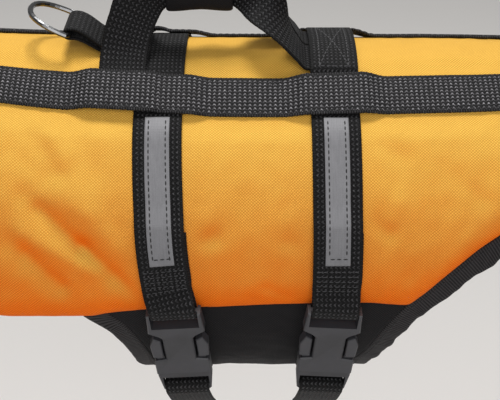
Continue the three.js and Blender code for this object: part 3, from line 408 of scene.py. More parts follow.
def walled(name, outer, inner, weave, **kept):
    """A wall between an outer and an inner grid of points."""
    rows, columns = outer.shape[:2]
    count = rows * columns
    rim = np.concatenate([
        np.arange(columns),
        np.arange(1, rows) * columns + columns - 1,
        (rows - 1) * columns + np.arange(columns - 2, -1, -1),
        np.arange(rows - 2, 0, -1) * columns,
    ])
    after = np.roll(rim, -1)
    faces = np.concatenate([
        faces_of_grid(rows, columns),
        faces_of_grid(rows, columns, count)[:, ::-1],
        np.stack([rim, after, after + count, rim + count], -1),
    ])
    points = np.concatenate([outer.reshape(-1, 3), inner.reshape(-1, 3)])
    both = np.concatenate([weave.reshape(-1, 2), weave.reshape(-1, 2)])
    return piece(name, points, [faces], both, **kept)


def lofted(name, rings, weave, closed=False, **kept):
    """A solid through a row of rings, closed on itself or with flat ends."""
    count, corners = rings.shape[:2]
    last = count if closed else count - 1
    i, j = np.meshgrid(np.arange(last), np.arange(corners), indexing="ij")
    k, n = (j + 1) % corners, (i + 1) % count
    here, there = i * corners, n * corners
    faces = [np.stack([here + j, here + k, there + k, there + j], -1).reshape(-1, 4)]
    if not closed:
        faces.append(np.arange(corners)[None, ::-1])
        faces.append(np.arange(corners)[None] + (count - 1) * corners)
    return piece(name, rings, faces, weave, **kept)


def resampled(rows, step, closed=False):
    """Even steps along a path whose first three columns are its points; the rest goes with them."""
    rows = np.asarray(rows, float)
    if closed:
        rows = np.concatenate([rows[-2:], rows, rows[:3]])
    gaps = np.linalg.norm(np.diff(rows[:, :3], axis=0), axis=1)
    at = np.concatenate([[0], np.cumsum(gaps)])
    slope = np.diff(rows, axis=0) / gaps[:, None]
    before, after = gaps[:-1, None], gaps[1:, None]
    inner = (slope[:-1] * after + slope[1:] * before) / (before + after)
    tangent = np.concatenate([slope[:1], inner, slope[-1:]])
    first, last = (at[2], at[-3]) if closed else (at[0], at[-1])
    count = max(2, round((last - first) / step))
    places = np.linspace(first, last, count + 1)
    if closed:
        places = places[:-1]
    i = np.clip(np.searchsorted(at, places, side="right") - 1, 0, len(at) - 2)
    t = ((places - at[i]) / gaps[i])[:, None]
    return cubic(rows[i], rows[i + 1], tangent[i], tangent[i + 1], t, gaps[i, None]), places - first


# Section of a flat band: share of its width, share of its thickness.
BAND_SECTION = [
    (-0.5, -0.2), (-0.485, -0.45), (-0.45, -0.5), (-0.25, -0.5), (0, -0.5), (0.25, -0.5), (0.45, -0.5),
    (0.485, -0.45), (0.5, -0.2), (0.5, 0.2), (0.485, 0.45), (0.45, 0.5), (0.25, 0.5), (0, 0.5),
    (-0.25, 0.5), (-0.45, 0.5), (-0.485, 0.45), (-0.5, 0.2),
]


class Band:
    """Flat webbing or tape along a path: its frames in even steps, and places on its face."""

    def __init__(self, rows, thickness, step):
        rows, self.length = resampled(rows, step)
        self.middle = rows[:, :3]
        along = unit(np.gradient(self.middle, axis=0))
        self.up = unit(np.cross(rows[:, 3:6], along))
        self.across = unit(np.cross(along, self.up))
        self.width = rows[:, 6]
        self.phi = rows[:, 7]
        self.thickness = thickness
        self.end = float(self.length[-1])

    def mesh(self, name, tooth=0.0, pitch=2.6, **kept):
        section = np.array(BAND_SECTION)
        width = self.width - tooth * (1 - np.cos(2 * np.pi * self.length / pitch))
        side = section[None, :, 0, None] * width[:, None, None] * self.across[:, None]
        rise = section[None, :, 1, None] * self.thickness * self.up[:, None]
        flat_side = section[None, :, 0] * self.width[:, None]
        weave = np.stack(np.broadcast_arrays(self.length[:, None], flat_side), -1)
        return lofted(name, self.middle[:, None] + side + rise, weave, **kept)

    def at_phi(self, phi):
        """Length at which the band passes that angle, on its way from the buckle over the back."""
        far = int(np.argmax(self.phi < -20))
        return self.length[np.flatnonzero(self.phi[:far] >= phi)[-1]]

    def lines(self, rows, face=1):
        """Straight rows over a face, each from a length and a side to a length and a side."""
        return [self.line(*row, face) for row in rows]

    def line(self, from_length, from_side, to_length, to_side, face):
        """Points just above the face, and its normals there."""
        t = np.linspace(0, 1, LINE_POINTS)
        length = from_length + (to_length - from_length) * t
        side = from_side + (to_side - from_side) * t
        up = unit(read_at(length, self.length, self.up)) * face
        point = read_at(length, self.length, self.middle)
        point = point + read_at(length, self.length, self.across) * side[:, None]
        return point + up * self.thickness / 2 + up * 0.05, up


def read_at(where, at, values):
    """Rows of three values between their places."""
    return np.stack([np.interp(where, at, values[:, k]) for k in range(3)], -1)


def stitches(context, name, lines, sewing):
    """Thread dashes along lines, each a row of points with the face's normals."""
    sewn_with, slot, length, gap, width, height = SEWING[sewing]
    points, faces, weave = [], [], []
    for places, normals in lines:
        run = np.linalg.norm(np.diff(places, axis=0), axis=1)
        at = np.concatenate([[0], np.cumsum(run)])
        for start in np.arange(gap / 2, at[-1] - length * 0.6, length + gap):
            middle = start + length / 2
            ahead = unit(read_at(middle + 0.4, at, places) - read_at(middle - 0.4, at, places))
            up = unit(read_at(middle, at, normals))
            side = np.cross(ahead, up)
            base = len(points)
            for along, thick in STITCH_FORM:
                centre = read_at(middle, at, places) + ahead * along * length
                for turn in range(STITCH_SIDES):
                    angle = turn * 2 * math.pi / STITCH_SIDES
                    out = side * math.cos(angle) * width / 2 + up * math.sin(angle) * height
                    points.append(centre + out * max(thick, 0.35))
                    weave.append((middle + along * length, turn))
            for ring in range(len(STITCH_FORM) - 1):
                for turn in range(STITCH_SIDES):
                    a = base + ring * STITCH_SIDES + turn
                    b = base + ring * STITCH_SIDES + (turn + 1) % STITCH_SIDES
                    faces.append((a, b, b + STITCH_SIDES, a + STITCH_SIDES))
    piece(name, points, [np.array(faces)], weave, finish_of(context, sewn_with), slot)


class Wire:
    """One output of a material's node. Arithmetic on it adds Math nodes."""

    def __init__(self, finish, socket):
        self.finish = finish
        self.socket = socket

    def maths(self, operation, *values):
        return self.finish.add("ShaderNodeMath", {"operation": operation}, dict(enumerate(values)))

    def part(self, name):
        return Wire(self.finish, self.socket.node.outputs[name])

    def __add__(self, other):
        return self.maths("ADD", self, other)

    __radd__ = __add__

    def __mul__(self, other):
        return self.maths("MULTIPLY", self, other)

    __rmul__ = __mul__

    def __sub__(self, other):
        return self.maths("SUBTRACT", self, other)

    def __rsub__(self, other):
        return self.maths("SUBTRACT", other, self)

    def wave(self, period):
        """Cosine with that period, from 0 to 1."""
        turned = self * (2 * math.pi / period)
        return self.maths("COSINE", turned) * 0.5 + 0.5

    def between(self, low, high):
        settings = {"interpolation_type": "SMOOTHSTEP"}
        sockets = {"Value": self, "From Min": low, "From Max": high}
        return self.finish.add("ShaderNodeMapRange", settings, sockets)


class Finish:
    """A material being made: a Principled shader and the nodes that feed it."""

    def __init__(self, name, **constants):
        self.material = bpy.data.materials.new(name)
        self.material.use_nodes = True
        self.tree = self.material.node_tree
        self.tree.nodes.clear()
        self.shader = self.tree.nodes.new("ShaderNodeBsdfPrincipled")
        output = self.tree.nodes.new("ShaderNodeOutputMaterial")
        self.tree.links.new(self.shader.outputs[0], output.inputs["Surface"])
        for name, value in constants.items():
            self.socket(name).default_value = value

    def socket(self, name):
        """The shader's own socket of that name, written in small letters."""
        title = name.replace("_", " ").title().replace("Ior", "IOR")
        return self.shader.inputs[title]

    def add(self, kind, settings=None, sockets=None, output=0):
        node = self.tree.nodes.new(kind)
        for name, value in (settings or {}).items():
            setattr(node, name, value)
        for name, value in (sockets or {}).items():
            self.feed(node.inputs[name], value)
        return Wire(self, node.outputs[output])

    def feed(self, socket, value):
        if isinstance(value, Wire):
            self.tree.links.new(value.socket, socket)
        else:
            socket.default_value = value

    def done(self, **sockets):
        """The material, once its shader's sockets are fed."""
        for name, value in sockets.items():
            self.feed(self.socket(name), value)
        return self.material

    def mix(self, share, low, high):
        """Colour from low to high."""
        settings = {"data_type": "RGBA", "clamp_factor": True}
        return self.add("ShaderNodeMix", settings, {0: share, 6: (*low, 1), 7: (*high, 1)}, output=2)

    def tinted(self, colour, by):
        """One colour times another."""
        settings = {"data_type": "RGBA", "blend_type": "MULTIPLY", "clamp_result": False}
        return self.add("ShaderNodeMix", settings, {0: 1.0, 6: colour, 7: by}, output=2)

    def cloth_place(self):
        """Place on the flat cloth, in millimetres: along and across."""
        place = self.add("ShaderNodeUVMap", {"uv_map": WEAVE})
        parts = self.add("ShaderNodeSeparateXYZ", {}, {"Vector": place})
        return place, parts.part("X"), parts.part("Y")

    def speckle(self, vector, size, detail=2.0, rough=0.5):
        """Noise in lumps of that size, in the vector's own unit, about 0 to 1."""
        settings = {"noise_dimensions": "3D"}
        sockets = {"Vector": vector, "Scale": 1 / size, "Detail": detail, "Roughness": rough}
        return self.add("ShaderNodeTexNoise", settings, sockets)

    def stretched(self, vector, along, across):
        """The vector scaled, so that noise from it runs in streaks."""
        settings = {"operation": "MULTIPLY"}
        return self.add("ShaderNodeVectorMath", settings, {0: vector, 1: (along, across, 1)})

    def bump(self, height, deep_mm, strength, normal=None):
        sockets = {"Height": height, "Distance": deep_mm * MM, "Strength": strength}
        if normal is not None:
            sockets["Normal"] = normal
        return self.add("ShaderNodeBump", {}, sockets)


def place_in_metres(finish):
    """Place on the piece itself, which goes with it when it moves."""
    return finish.add("ShaderNodeTexCoord", output="Object")


def oxford_weave(finish, pitch_along, pitch_across):
    """Plain weave of thick threads: relief 0 to 1, and each thread's own shade."""
    place, along, across = finish.cloth_place()
    wander = finish.speckle(place, 9) - 0.5
    u = along + wander * 1.1
    v = across + wander * 0.9
    crossing = (u.wave(2 * pitch_along) - 0.5) * (v.wave(2 * pitch_across) - 0.5) * 4
    threads = (u.wave(pitch_along) + v.wave(pitch_across)) * 0.5
    relief = (crossing * 0.5 + 0.5) * 0.75 + threads * 0.25
    shade = finish.speckle(finish.stretched(place, 0.06, 1.1), 1) + finish.speckle(
        finish.stretched(place, 1.1, 0.06), 1
    )
    return place, relief, shade * 0.5


def orange_cloth(settings):
    """Oxford cloth with painted light: painted shade in the weave's hollows, and a colour painted lighter and
    yellower where the cloth faces up.
    """
    finish = Finish(
        "orange_oxford_cloth", specular_ior_level=0.12, sheen_weight=0.02, sheen_roughness=0.5,
    )
    place, relief, shade = oxford_weave(finish, settings.thread_along, settings.thread_across)
    # Painted light: the colour runs from the shaded low colour, where the cloth faces sideways and down, to the
    # lit top colour where it faces up.
    facing = finish.add("ShaderNodeNewGeometry", output="Normal")
    upward = finish.add("ShaderNodeSeparateXYZ", {}, {"Vector": facing}).part("Z")
    light = upward.between(-0.3, 0.95)
    painted_light_tint = finish.mix(light, settings.shaded_low_colour, settings.lit_top_colour)
    # Painted shade in the weave's hollows, and painted highlight on the threads' tops.
    threads = finish.mix(relief.between(0.1, 0.8), (0.74, 0.54, 0.38), (1.1, 1.15, 1.2))
    cloud = finish.speckle(place, 18, 3)
    mottled = finish.mix(cloud * 0.5 + shade * 0.5, (0.9, 0.88, 0.85), (1.1, 1.12, 1.15))
    woven = finish.tinted(finish.tinted(painted_light_tint, threads), mottled)
    soft = finish.bump(finish.speckle(place, 6, 2), 0.25, 0.6)
    return finish.done(
        base_color=woven,
        roughness=0.62 + (1 - relief) * 0.2,
        normal=finish.bump(relief, 0.3, 0.9, soft),
    )


def black_cloth(settings):
    """The same weave in black, for belly, chest and grip."""
    finish = Finish(
        "black_oxford_cloth", specular_ior_level=0.15, sheen_weight=0.02, sheen_roughness=0.4,
    )
    place, relief, shade = oxford_weave(finish, settings.thread_along, settings.thread_across)
    # Painted shade in the weave's hollows, and painted highlight on the threads' tops.
    dark = finish.mix(relief * 0.7 + shade * 0.3, (0.003, 0.0028, 0.0035), (0.015, 0.014, 0.0155))
    soft = finish.bump(finish.speckle(place, 7, 2), 0.3, 0.6)
    return finish.done(
        base_color=dark,
        roughness=0.55 + shade * 0.2,
        normal=finish.bump(relief, 0.3, 0.8, soft),
    )


def webbing_cloth(settings, name, low, high):
    """Woven strap: columns of raised tufts, each bent like a V."""
    finish = Finish(name, specular_ior_level=0.2, sheen_weight=0.05, sheen_roughness=0.35)
    place, along, side = finish.cloth_place()
    pitch = settings.rib_pitch
    column = along.wave(pitch)
    tufts = (side + column * (TUFT_PITCH * 0.5)).wave(TUFT_PITCH) * (column * 0.6 + 0.4)
    fine = (side + along * 0.5).wave(0.62)
    relief = tufts * 0.8 + fine * 0.2
    edge = side.maths("ABSOLUTE", side).between(10.9, 11.9)
    woven = relief * (1 - edge) + (along.wave(pitch * 0.5) * 0.4 + 0.12) * edge
    shade = finish.speckle(finish.stretched(place, 0.25, 1.5), 1.4, 3)
    # Painted light: the tufts' tops are painted towards the high colour and the gaps towards the low one, with
    # painted glints over them.
    glint = finish.speckle(finish.stretched(place, 1.1, 1.6), 1, 2).between(0.42, 0.62)
    lit = woven.between(0.22, 0.85)
    colour = finish.mix(lit * lit * (glint * 0.75 + 0.25) + shade * 0.12 - 0.05, low, high)
    return finish.done(
        base_color=colour,
        roughness=0.5 + shade * 0.25,
        normal=finish.bump(woven, 0.55, 0.9),
    )


def grosgrain():
    """Folded tape with close ribs across it."""
    finish = Finish(
        "black_grosgrain_tape", specular_ior_level=0.18, sheen_weight=0.04, sheen_roughness=0.4,
    )
    place, along, _ = finish.cloth_place()
    ribs = (along + (finish.speckle(place, 9) - 0.5) * 0.5).wave(RIB_PITCH)
    shade = finish.speckle(place, 3, 3)
    # Painted shade between the ribs, and painted highlight on their tops.
    colour = finish.mix(ribs * 0.7 + shade * 0.4 - 0.05, (0.002, 0.0018, 0.002), (0.05, 0.046, 0.048))
    return finish.done(base_color=colour, roughness=0.5 + shade * 0.2, normal=finish.bump(ribs, 0.35, 0.9))


def reflective_film():
    """Grey reflective tape: a fine beaded surface with a faint woven ground."""
    finish = Finish("reflective_tape", specular_ior_level=0.4, sheen_weight=0.05)
    place, along, side = finish.cloth_place()
    beads = finish.speckle(place, 0.35, 2, 0.7)
    cloud = finish.speckle(place, 7, 3)
    pale_streaks_and_edge_highlight = finish.speckle(finish.stretched(place, 0.12, 1.3), 1.2, 3)
    # Colour: the beads' speckle is a painted sparkle, over cloudy tone and pale streaks.
    worn = beads * 0.45 + cloud * 0.3 + pale_streaks_and_edge_highlight * 0.35
    colour = finish.mix(worn, (0.085, 0.086, 0.094), (0.3, 0.299, 0.318))
    ground = along.wave(0.9) * side.wave(0.9)
    return finish.done(
        base_color=colour,
        metallic=0.15,
        roughness=0.42 + cloud * 0.2,
        normal=finish.bump(ground * 0.5 + beads * 0.5, 0.12, 0.6),
    )


def moulded_plastic():
    """Dark grey moulding: fine spark-eroded grain, and a painted highlight that makes its sharp edges paler."""
    finish = Finish("moulded_plastic", specular_ior_level=0.5)
    place = place_in_metres(finish)
    grain = finish.speckle(place, 0.0004, 3, 0.6)
    cloud = finish.speckle(place, 0.006, 3)
    # Painted highlight: sharp edges, found by their pointiness, are painted paler.
    facing = finish.add("ShaderNodeNewGeometry", output="Pointiness")
    pale_streaks_and_edge_highlight = facing.between(0.5, 0.56)
    colour = finish.mix(cloud * 0.5 + pale_streaks_and_edge_highlight * 0.5, (0.026, 0.026, 0.029), (0.052, 0.052, 0.06))
    return finish.done(
        base_color=colour,
        roughness=0.42 + grain * 0.16,
        normal=finish.bump(grain, 0.05, 0.6),
    )


def plated_steel():
    """Bright plated wire with faint polishing lines."""
    finish = Finish("plated_steel", metallic=1.0)
    place = place_in_metres(finish)
    lines = finish.speckle(finish.stretched(place, 900, 5200), 1, 3)
    cloud = finish.speckle(place, 0.004, 3)
    colour = finish.mix(cloud, (0.13, 0.133, 0.14), (0.26, 0.263, 0.27))
    return finish.done(base_color=colour, roughness=0.16 + lines * 0.14, normal=finish.bump(lines, 0.02, 0.4))


def thread(name, low, high):
    """Twisted sewing thread."""
    finish = Finish(name, specular_ior_level=0.4, sheen_weight=0.2)
    _, along, turn = finish.cloth_place()
    twist = (along * 2 + turn * 0.35).wave(0.9)
    # Painted shade in the twist's grooves, and painted highlight on its ridges.
    return finish.done(
        base_color=finish.mix(twist, low, high),
        roughness=0.6 + twist * 0.1,
        normal=finish.bump(twist, 0.08, 0.7),
    )


def floor_finish(colour):
    finish = Finish("studio_floor", roughness=0.8, specular_ior_level=0.2)
    cloud = finish.speckle(place_in_metres(finish), 0.3, 2)
    pale = [min(1.0, c * 1.02) for c in colour]
    return finish.done(base_color=finish.mix(cloud, colour, pale))


# Each finish: what makes it, the settings that it reads, and its own values.
FINISHES = {
    "orange": (orange_cloth, "jacket_cloth"),
    "black": (black_cloth, "jacket_cloth"),
    # Both are the same black webbing; the high colour is a painted highlight, painted much paler on the back
    # webbing, which faces up into the light.
    "strap": (
        webbing_cloth, "jacket_webbing", "girth_webbing", (0.0015, 0.0015, 0.0018), (0.085, 0.084, 0.09),
    ),
    "long": (webbing_cloth, "jacket_webbing", "back_webbing", (0.0025, 0.0025, 0.003), (0.4, 0.39, 0.415)),
    "tape": (grosgrain, None),
    "film": (reflective_film, None),
    "plastic": (moulded_plastic, None),
    "steel": (plated_steel, None),
    "dark_thread": (thread, None, "dark_thread", (0.004, 0.004, 0.005), (0.03, 0.03, 0.033)),
    "grey_thread": (thread, None, "grey_thread", (0.012, 0.012, 0.014), (0.1, 0.1, 0.107)),
}
SLOTS = {
    "orange": "orange_cloth", "black": "black_cloth", "strap": "black_webbing", "long": "black_webbing",
    "tape": "black_binding", "film": "reflective_tape",
}
made_finishes = {}


def finish_of(context, name):
    """The finish of that name, made when it is first asked for."""
    if name not in made_finishes:
        make, group, *values = FINISHES[name]
        settings = [getattr(context.scene, group)] if group else []
        made_finishes[name] = make(*settings, *values)
    return made_finishes[name]


def cloth_of(context, name):
    """What a piece of that finish is made with: its material and its slot."""
    return {"finish": finish_of(context, name), "slot": SLOTS[name]}


def foam_grid(columns, phis, side, depth):
    """Outer and inner grid of a foam panel from its columns and a function for its angles."""
    column = np.broadcast_to(columns[None, :], phis.shape)
    phi = side * phis
    x = swept_x(column, phi)
    outer = on_form(x, phi, foam_height(column, phi) + wrinkles(column, phi, depth))
    inner = on_form(x, phi, np.zeros_like(phi))
    return outer, inner, np.stack([x, phi * MM_PER_DEGREE], -1)


def eased(count, crowd=0.35):
    """Steps from 0 to 1 that lie closer together near both ends."""
    t = np.linspace(0, 1, count)
    return (1 - crowd) * t + crowd * (1 - np.cos(np.pi * t)) / 2


def belly_place(u, v):
    """Place and angle on the belly panel: u from its front to its rear edge, v from seam to seam."""
    rough = 180 - BELLY_SPREAD * np.abs(v)
    x = belly_front(rough) + (belly_rear(rough) - belly_front(rough)) * u
    seam = lower_edge(x) + SEAM_GAP / MM_PER_DEGREE
    around = 180 - (180 - seam) * np.abs(v)
    return x, np.where(v < 0, 360 - around, around)


def above_bar(u):
    """Place along the buckle from its middle, for a place from its upper end."""
    return u - BUCKLE["bar"] - BUCKLE["slot"] / 2 - BUCKLE["above"]


def buckle_axes(buckle_x, lean):
    """Middle of a buckle, and its directions down the strap, across it and out of its face."""
    origin = on_form(buckle_x, BUCKLE["middle_phi"], BUCKLE["rise"])
    normal = form_normal(np.float64(buckle_x), np.float64(BUCKLE["middle_phi"]))
    down = np.cross(normal, [1.0, 0, 0])
    down = unit(down if down[2] < 0 else -down)
    turn = math.radians(lean)
    flat = down * math.cos(turn) + np.array([math.sin(turn), 0, 0])
    across = unit(np.cross(flat, normal))
    across = across if across[0] > 0 else -across
    tilt = math.radians(BUCKLE["tilt"])
    along = flat * math.cos(tilt) + normal * math.sin(tilt)
    return origin, along, across, normal * math.cos(tilt) - flat * math.sin(tilt)


def girth_rows(strap, buckle_x, lean, over_foot, fold_shift):
    """Path of a girth strap: from its folded end, round the buckle's bar, over the back and
    under the belly to the buckle's ladder, where it folds back."""
    origin, down, across, normal = buckle_axes(buckle_x, lean)
    rows = []

    def on_surface(phis, layers, shift=0.0):
        phis = np.atleast_1d(np.asarray(phis, float))
        x = strap_x(strap, phis)
        lift = layers + np.where(np.abs(phis) < FOOT_PHI, over_foot, 0)
        height = under_strap(x, phis) + 1.4 * GAP + HALF_WEBBING + lift * LAYER
        for point, phi in zip(on_form(x + shift, phis, height), phis):
            rows.append([*point, 1, 0, 0, WEBBING_WIDTH, phi])

    def on_buckle(u, n):
        point = origin + down * above_bar(u) + normal * (BUCKLE["thickness"] / 2 + n)
        rows.append([*point, *across, BUCKLE["strap_width"], OFF_FORM])

    bend = BUCKLE["bend"]
    on_surface(DOUBLED_PHIS, 0, fold_shift)
    on_surface(84, -0.1, fold_shift / 2)
    on_buckle(-1.5, -bend)
    for angle in np.radians(range(-90, 91, 30)):
        on_buckle(BUCKLE["bar"] / 2 + bend * math.cos(angle), bend * math.sin(angle))
    on_buckle(-3, bend + 0.3)
    on_surface([84, *reversed(DOUBLED_PHIS)], 1)
    on_surface(64.5, 0.8)
    on_surface(62, 0.2)
    over_back = [*np.linspace(59, 21, 8), 17, 15.3, *np.linspace(12, -12, 6), -15.3, -17, -21]
    far_side = [*np.linspace(-26, -84, 11), -88, -91, -94, -97]
    on_surface([*over_back, *far_side, *np.linspace(-102, -216, 20)], 0)
    under = BUCKLE["ladder_thickness"] / 2 + 2 * GAP + HALF_WEBBING
    on_buckle(LADDER_TO + 6.5, -under - 1)
    on_buckle(LADDER_TO + 3, -under)
    for angle in np.radians(range(-60, 61, 30)):
        on_buckle(LADDER_TO + 0.4 - 2.4 * math.cos(angle), under * math.sin(angle))
    on_buckle(LADDER_TO + 3, under)

    def away(u):
        return above_bar(u) ** 2 / TWICE_BODY_RADIUS

    for further in (9, 17, 25, 32):
        on_buckle(LADDER_TO + further, under - away(LADDER_TO + further) + away(LADDER_TO + 3))
    return rows


# Each strap's line, its buckle's place and lean, its layers over the handle, and its fold's shift.
GIRTHS = {
    "front": (front_strap, -37.2, 5, 0, 0.9),
    "rear": (rear_strap, 41.6, -4.5, 1.95, 0.5),
}
girth_bands = {}


def girth_band(place):
    if place not in girth_bands:
        girth_bands[place] = Band(girth_rows(*GIRTHS[place]), WEBBING_THICKNESS, BAND_STEP)
    return girth_bands[place]


def reflective_band(strap, side):
    """A reflective strip on a strap, lifted where the strap's end lies double on the near side."""
    rows = []
    for phi in STRIP_PHIS:
        x = strap_x(strap, phi)
        doubled = 0 if side < 0 else smooth((phi - 59) / 6)
        bridge = 0.25 if side > 0 and 60 < phi < 66 else 0.05
        height = under_strap(x, np.float64(side * phi)) + GAP + LAYER * (1 + doubled) + bridge + 0.25
        rows.append([*on_form(x, side * phi, height), 1, 0, 0, STRIP_WIDTH, phi])
    return Band(rows, STRIP_THICKNESS, 1.0)


def webbing_rise(x, v):
    """Lift of the long webbing over the girth straps, the handle's foot and its root."""
    def over(middle, half=WEBBING_WIDTH / 2):
        before = smooth((x - (middle - half) + RISE_FROM) / RISE_LENGTH)
        return before * smooth((middle + half + RISE_FROM - x) / RISE_LENGTH)

    front = LAYERS_OVER["front"] * over(FRONT_STRAP[0][1])
    foot = LAYERS_OVER["foot"] * over(HANDLE_FOOT_X, FOOT_HALF)
    rear = over(REAR_STRAP[0][1]) * (LAYERS_OVER["rear"] + 3 * np.maximum(0, -0.25 - v))
    return LAYER * np.maximum(np.maximum(front, foot), rear)


def under_long(column, share, side):
    """Height of the long webbing's underside."""
    return foam_height(column, side * webbing_line(column)) + GAP + webbing_rise(column, share)


# Section of a folded tape: share outwards from the edge, share of its thickness.
TAPE_SECTION = [
    (0, -0.3), (0, 0.3), (0.06, 0.46), (0.16, 0.5), (0.4, 0.47), (0.62, 0.5), (0.84, 0.5), (0.96, 0.36),
    (1, 0.12), (1, -0.12), (0.96, -0.36), (0.84, -0.5), (0.62, -0.5), (0.4, -0.47), (0.16, -0.5), (0.06, -0.46),
]


def bound_edge(context, name, edge, outward, width, gather, closed=False, mitred=False):
    """Binding tape along an edge given as rows of place and angle; gathered tape stands in waves.
    Gives the tape and the row of its stitches."""
    x, phi = np.array(edge, float).T
    height = np.full_like(x, EDGE_THICKNESS / 2)
    rows = np.concatenate([on_form(x, phi, height), form_normal(x, phi)], 1)
    rows, length = resampled(rows, TAPE_STEP, closed)
    middle, up = rows[:, :3], unit(rows[:, 3:6])
    if closed:
        along = unit(np.roll(middle, -1, 0) - np.roll(middle, 1, 0))
    else:
        along = unit(np.gradient(middle, axis=0))
    out = unit(np.cross(along, up)) * outward
    to_end = length[-1] - length
    if mitred:
        seam = np.clip(1 - np.minimum(length, to_end) / MITRE, 0, 1)[:, None]
        out = out * (1 - seam) + np.array([1.0, 0, 0]) / out[:, :1] * seam
    pull = ripple(length, length * 0, 13, 4.4) + 0.5 * ripple(length, length * 0, 6, 9.1)
    if closed:
        pull = pull * (smooth(length / 30) * smooth(to_end / 30))
    section = np.array(TAPE_SECTION)
    share, thick = section.T
    reach = share[None] * (width + 0.45 * gather * pull)[:, None]
    wave = pull[:, None] * gather * 0.55 * share[None] ** 1.5
    rise = thick[None] * EDGE_THICKNESS * (1 - 0.12 * gather * np.abs(pull))[:, None]
    rings = middle[:, None] + out[:, None] * (GAP + reach)[..., None]
    rings = rings + up[:, None] * (rise + wave)[..., None]
    run = np.linalg.norm(np.diff(section * [width, EDGE_THICKNESS], axis=0), axis=1)
    round_tape = np.concatenate([[0], np.cumsum(run)])
    weave = np.stack(np.broadcast_arrays(length[:, None], round_tape[None]), -1)
    made = lofted(name, rings, weave, closed, **cloth_of(context, "tape"))
    return made, (middle + out * (GAP + 0.24 * width) + up * (EDGE_THICKNESS * 0.5 + 0.02), up)


def belly_edge(u, sides):
    """Rows of place and angle along the belly panel's front or rear edge."""
    return [tuple(float(t) for t in belly_place(u, np.float64(v))) for v in sides]


def swept_edge(rows):
    """Rows of column and angle, with the column swept."""
    return [(float(swept_x(np.float64(x), np.float64(phi))), float(phi)) for x, phi in rows]


def rear_edge():
    """The rear opening: tail, side edge and the belly panel's rear edge, and back on the far side."""
    columns = TAIL_X - (TAIL_X - SLANT_FROM) * np.linspace(0.001, 1, 34) ** 1.4
    near = [(TAIL_X, phi) for phi in np.linspace(0, 16.5, 4)]
    near = swept_edge(near + [(column, lower_edge(column)) for column in columns])
    near += belly_edge(1.0, np.linspace(0.93, 0.04, 24))
    return near + belly_edge(1.0, [0]) + [(x, 360 - phi) for x, phi in near[:0:-1]]


def handle_band(side):
    """A handle webbing: from its foot under the long webbing, through the grip, to its rear end."""
    rows = []
    for phi in HANDLE_FOOT_PHIS:
        height = float(foam_height(HANDLE_FOOT_X, phi)) + GAP + LAYER + HALF_WEBBING
        rows.append([*on_form(HANDLE_FOOT_X, phi, height), 1, 0, 0])
    rows += [list(row) for row in HANDLE_PATH]
    turn = math.radians(HANDLE_END_PHI)
    for x in HANDLE_END_X:
        height = float(foam_height(x, HANDLE_END_PHI)) + 1.7 * GAP + HALF_WEBBING
        rows.append([*on_form(x, HANDLE_END_PHI, height), 0, -math.cos(turn), -math.sin(turn)])
    rows = np.array(rows, float) * [1, side, 1, 1, side, 1]
    width = np.linspace(WEBBING_WIDTH, WEBBING_WIDTH - HANDLE_NARROWS, len(rows))
    return Band(np.column_stack([rows, width, width * 0]), WEBBING_THICKNESS, BAND_STEP)


def grip_rings():
    """Rings of the padded grip, out along its face and back inside it, and their weave."""
    height_at = Table([(row[0], row[2]) for row in HANDLE_PATH])
    around = np.linspace(0, 2 * np.pi, 49)[:-1]

    def squared(value):
        return np.sign(value) * np.abs(value) ** 0.55

    rings, weave = [], []
    length = GRIP["to"] - GRIP["from"]
    outer = [(t, GRIP["height"], GRIP["depth"], True) for t in np.linspace(0, 1, 40)]
    inner = [(t, GRIP["in_height"], GRIP["in_depth"], False) for t in np.linspace(1, 0, 5)]
    for t, height, depth, outside in outer + inner:
        end = 0.88 + 0.12 * float(roll(min(t, 1 - t) * 5)) if outside else 1
        x = GRIP["from"] + length * t
        soft = 1 + (0.012 * ripple(around * 6, around * 0 + x, 6, 3.1) if outside else 0)
        y = depth * end / 2 * squared(np.cos(around)) * soft
        z = height_at(x) + height * end / 2 * squared(np.sin(around)) * soft
        rings.append(np.stack([np.full_like(y, x), y, z], -1))
        weave.append(np.stack([np.full_like(y, x), around * 12.5], -1))
    return np.array(rings), np.array(weave)


def ring_loop_band():
    """The D-ring's webbing: forward on the back, round the ring's straight side and back."""
    bend = RING["wire"] / 2 + RING["clearance"] + HALF_WEBBING

    def back(x):
        return float(on_form(x, 0, float(foam_height(x, 0)))[2])

    def layer(x, bar_z, low, above, reach):
        ground = back(x) + GAP + HALF_WEBBING + low
        rise = (bar_z - ground) * float(smooth((RING["lift_x"] + above - x) / reach))
        return x, ground + max(0, rise)

    bar_z = back(RING["bar_x"]) + RING["bar_rise"]
    places = [RING["root_x"], -70, -76, -80, -84, -88, -92]
    rows = [layer(x, bar_z - bend, 0, 4, 17) for x in places]
    for angle in np.radians(range(-90, -271, -30)):
        rows.append((RING["bar_x"] + bend * math.cos(angle), bar_z + bend * math.sin(angle)))
    rows += [layer(x, bar_z + bend, LAYER, 6, 19) for x in places[::-1]]
    return Band([[x, 0, z, 0, 1, 0, WEBBING_WIDTH, 0] for x, z in rows], WEBBING_THICKNESS, BAND_STEP)


def strap_piece(context, band, name, node):
    """A piece of the 25 mm webbing, in place of its solid."""
    settings = context.scene.jacket_webbing
    made = band.mesh(name, settings.tooth, settings.rib_pitch, **cloth_of(context, "strap"))
    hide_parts(node)


def refinished(name, node, finish):
    """A copy of a solid's own mesh, with its finish."""
    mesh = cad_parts[node].data.copy()
    mesh.materials.clear()
    mesh.materials.append(finish)
    return linked(name, mesh)


def boxed(first, last):
    """Rows of a box of stitches with its diagonals, over a stretch of a band."""
    half = BOX_HALF
    return [
        (first, -half, last, -half), (first, half, last, half), (first, -half, first, half),
        (last, -half, last, half), (first, -half, last, half), (first, half, last, -half),
    ]


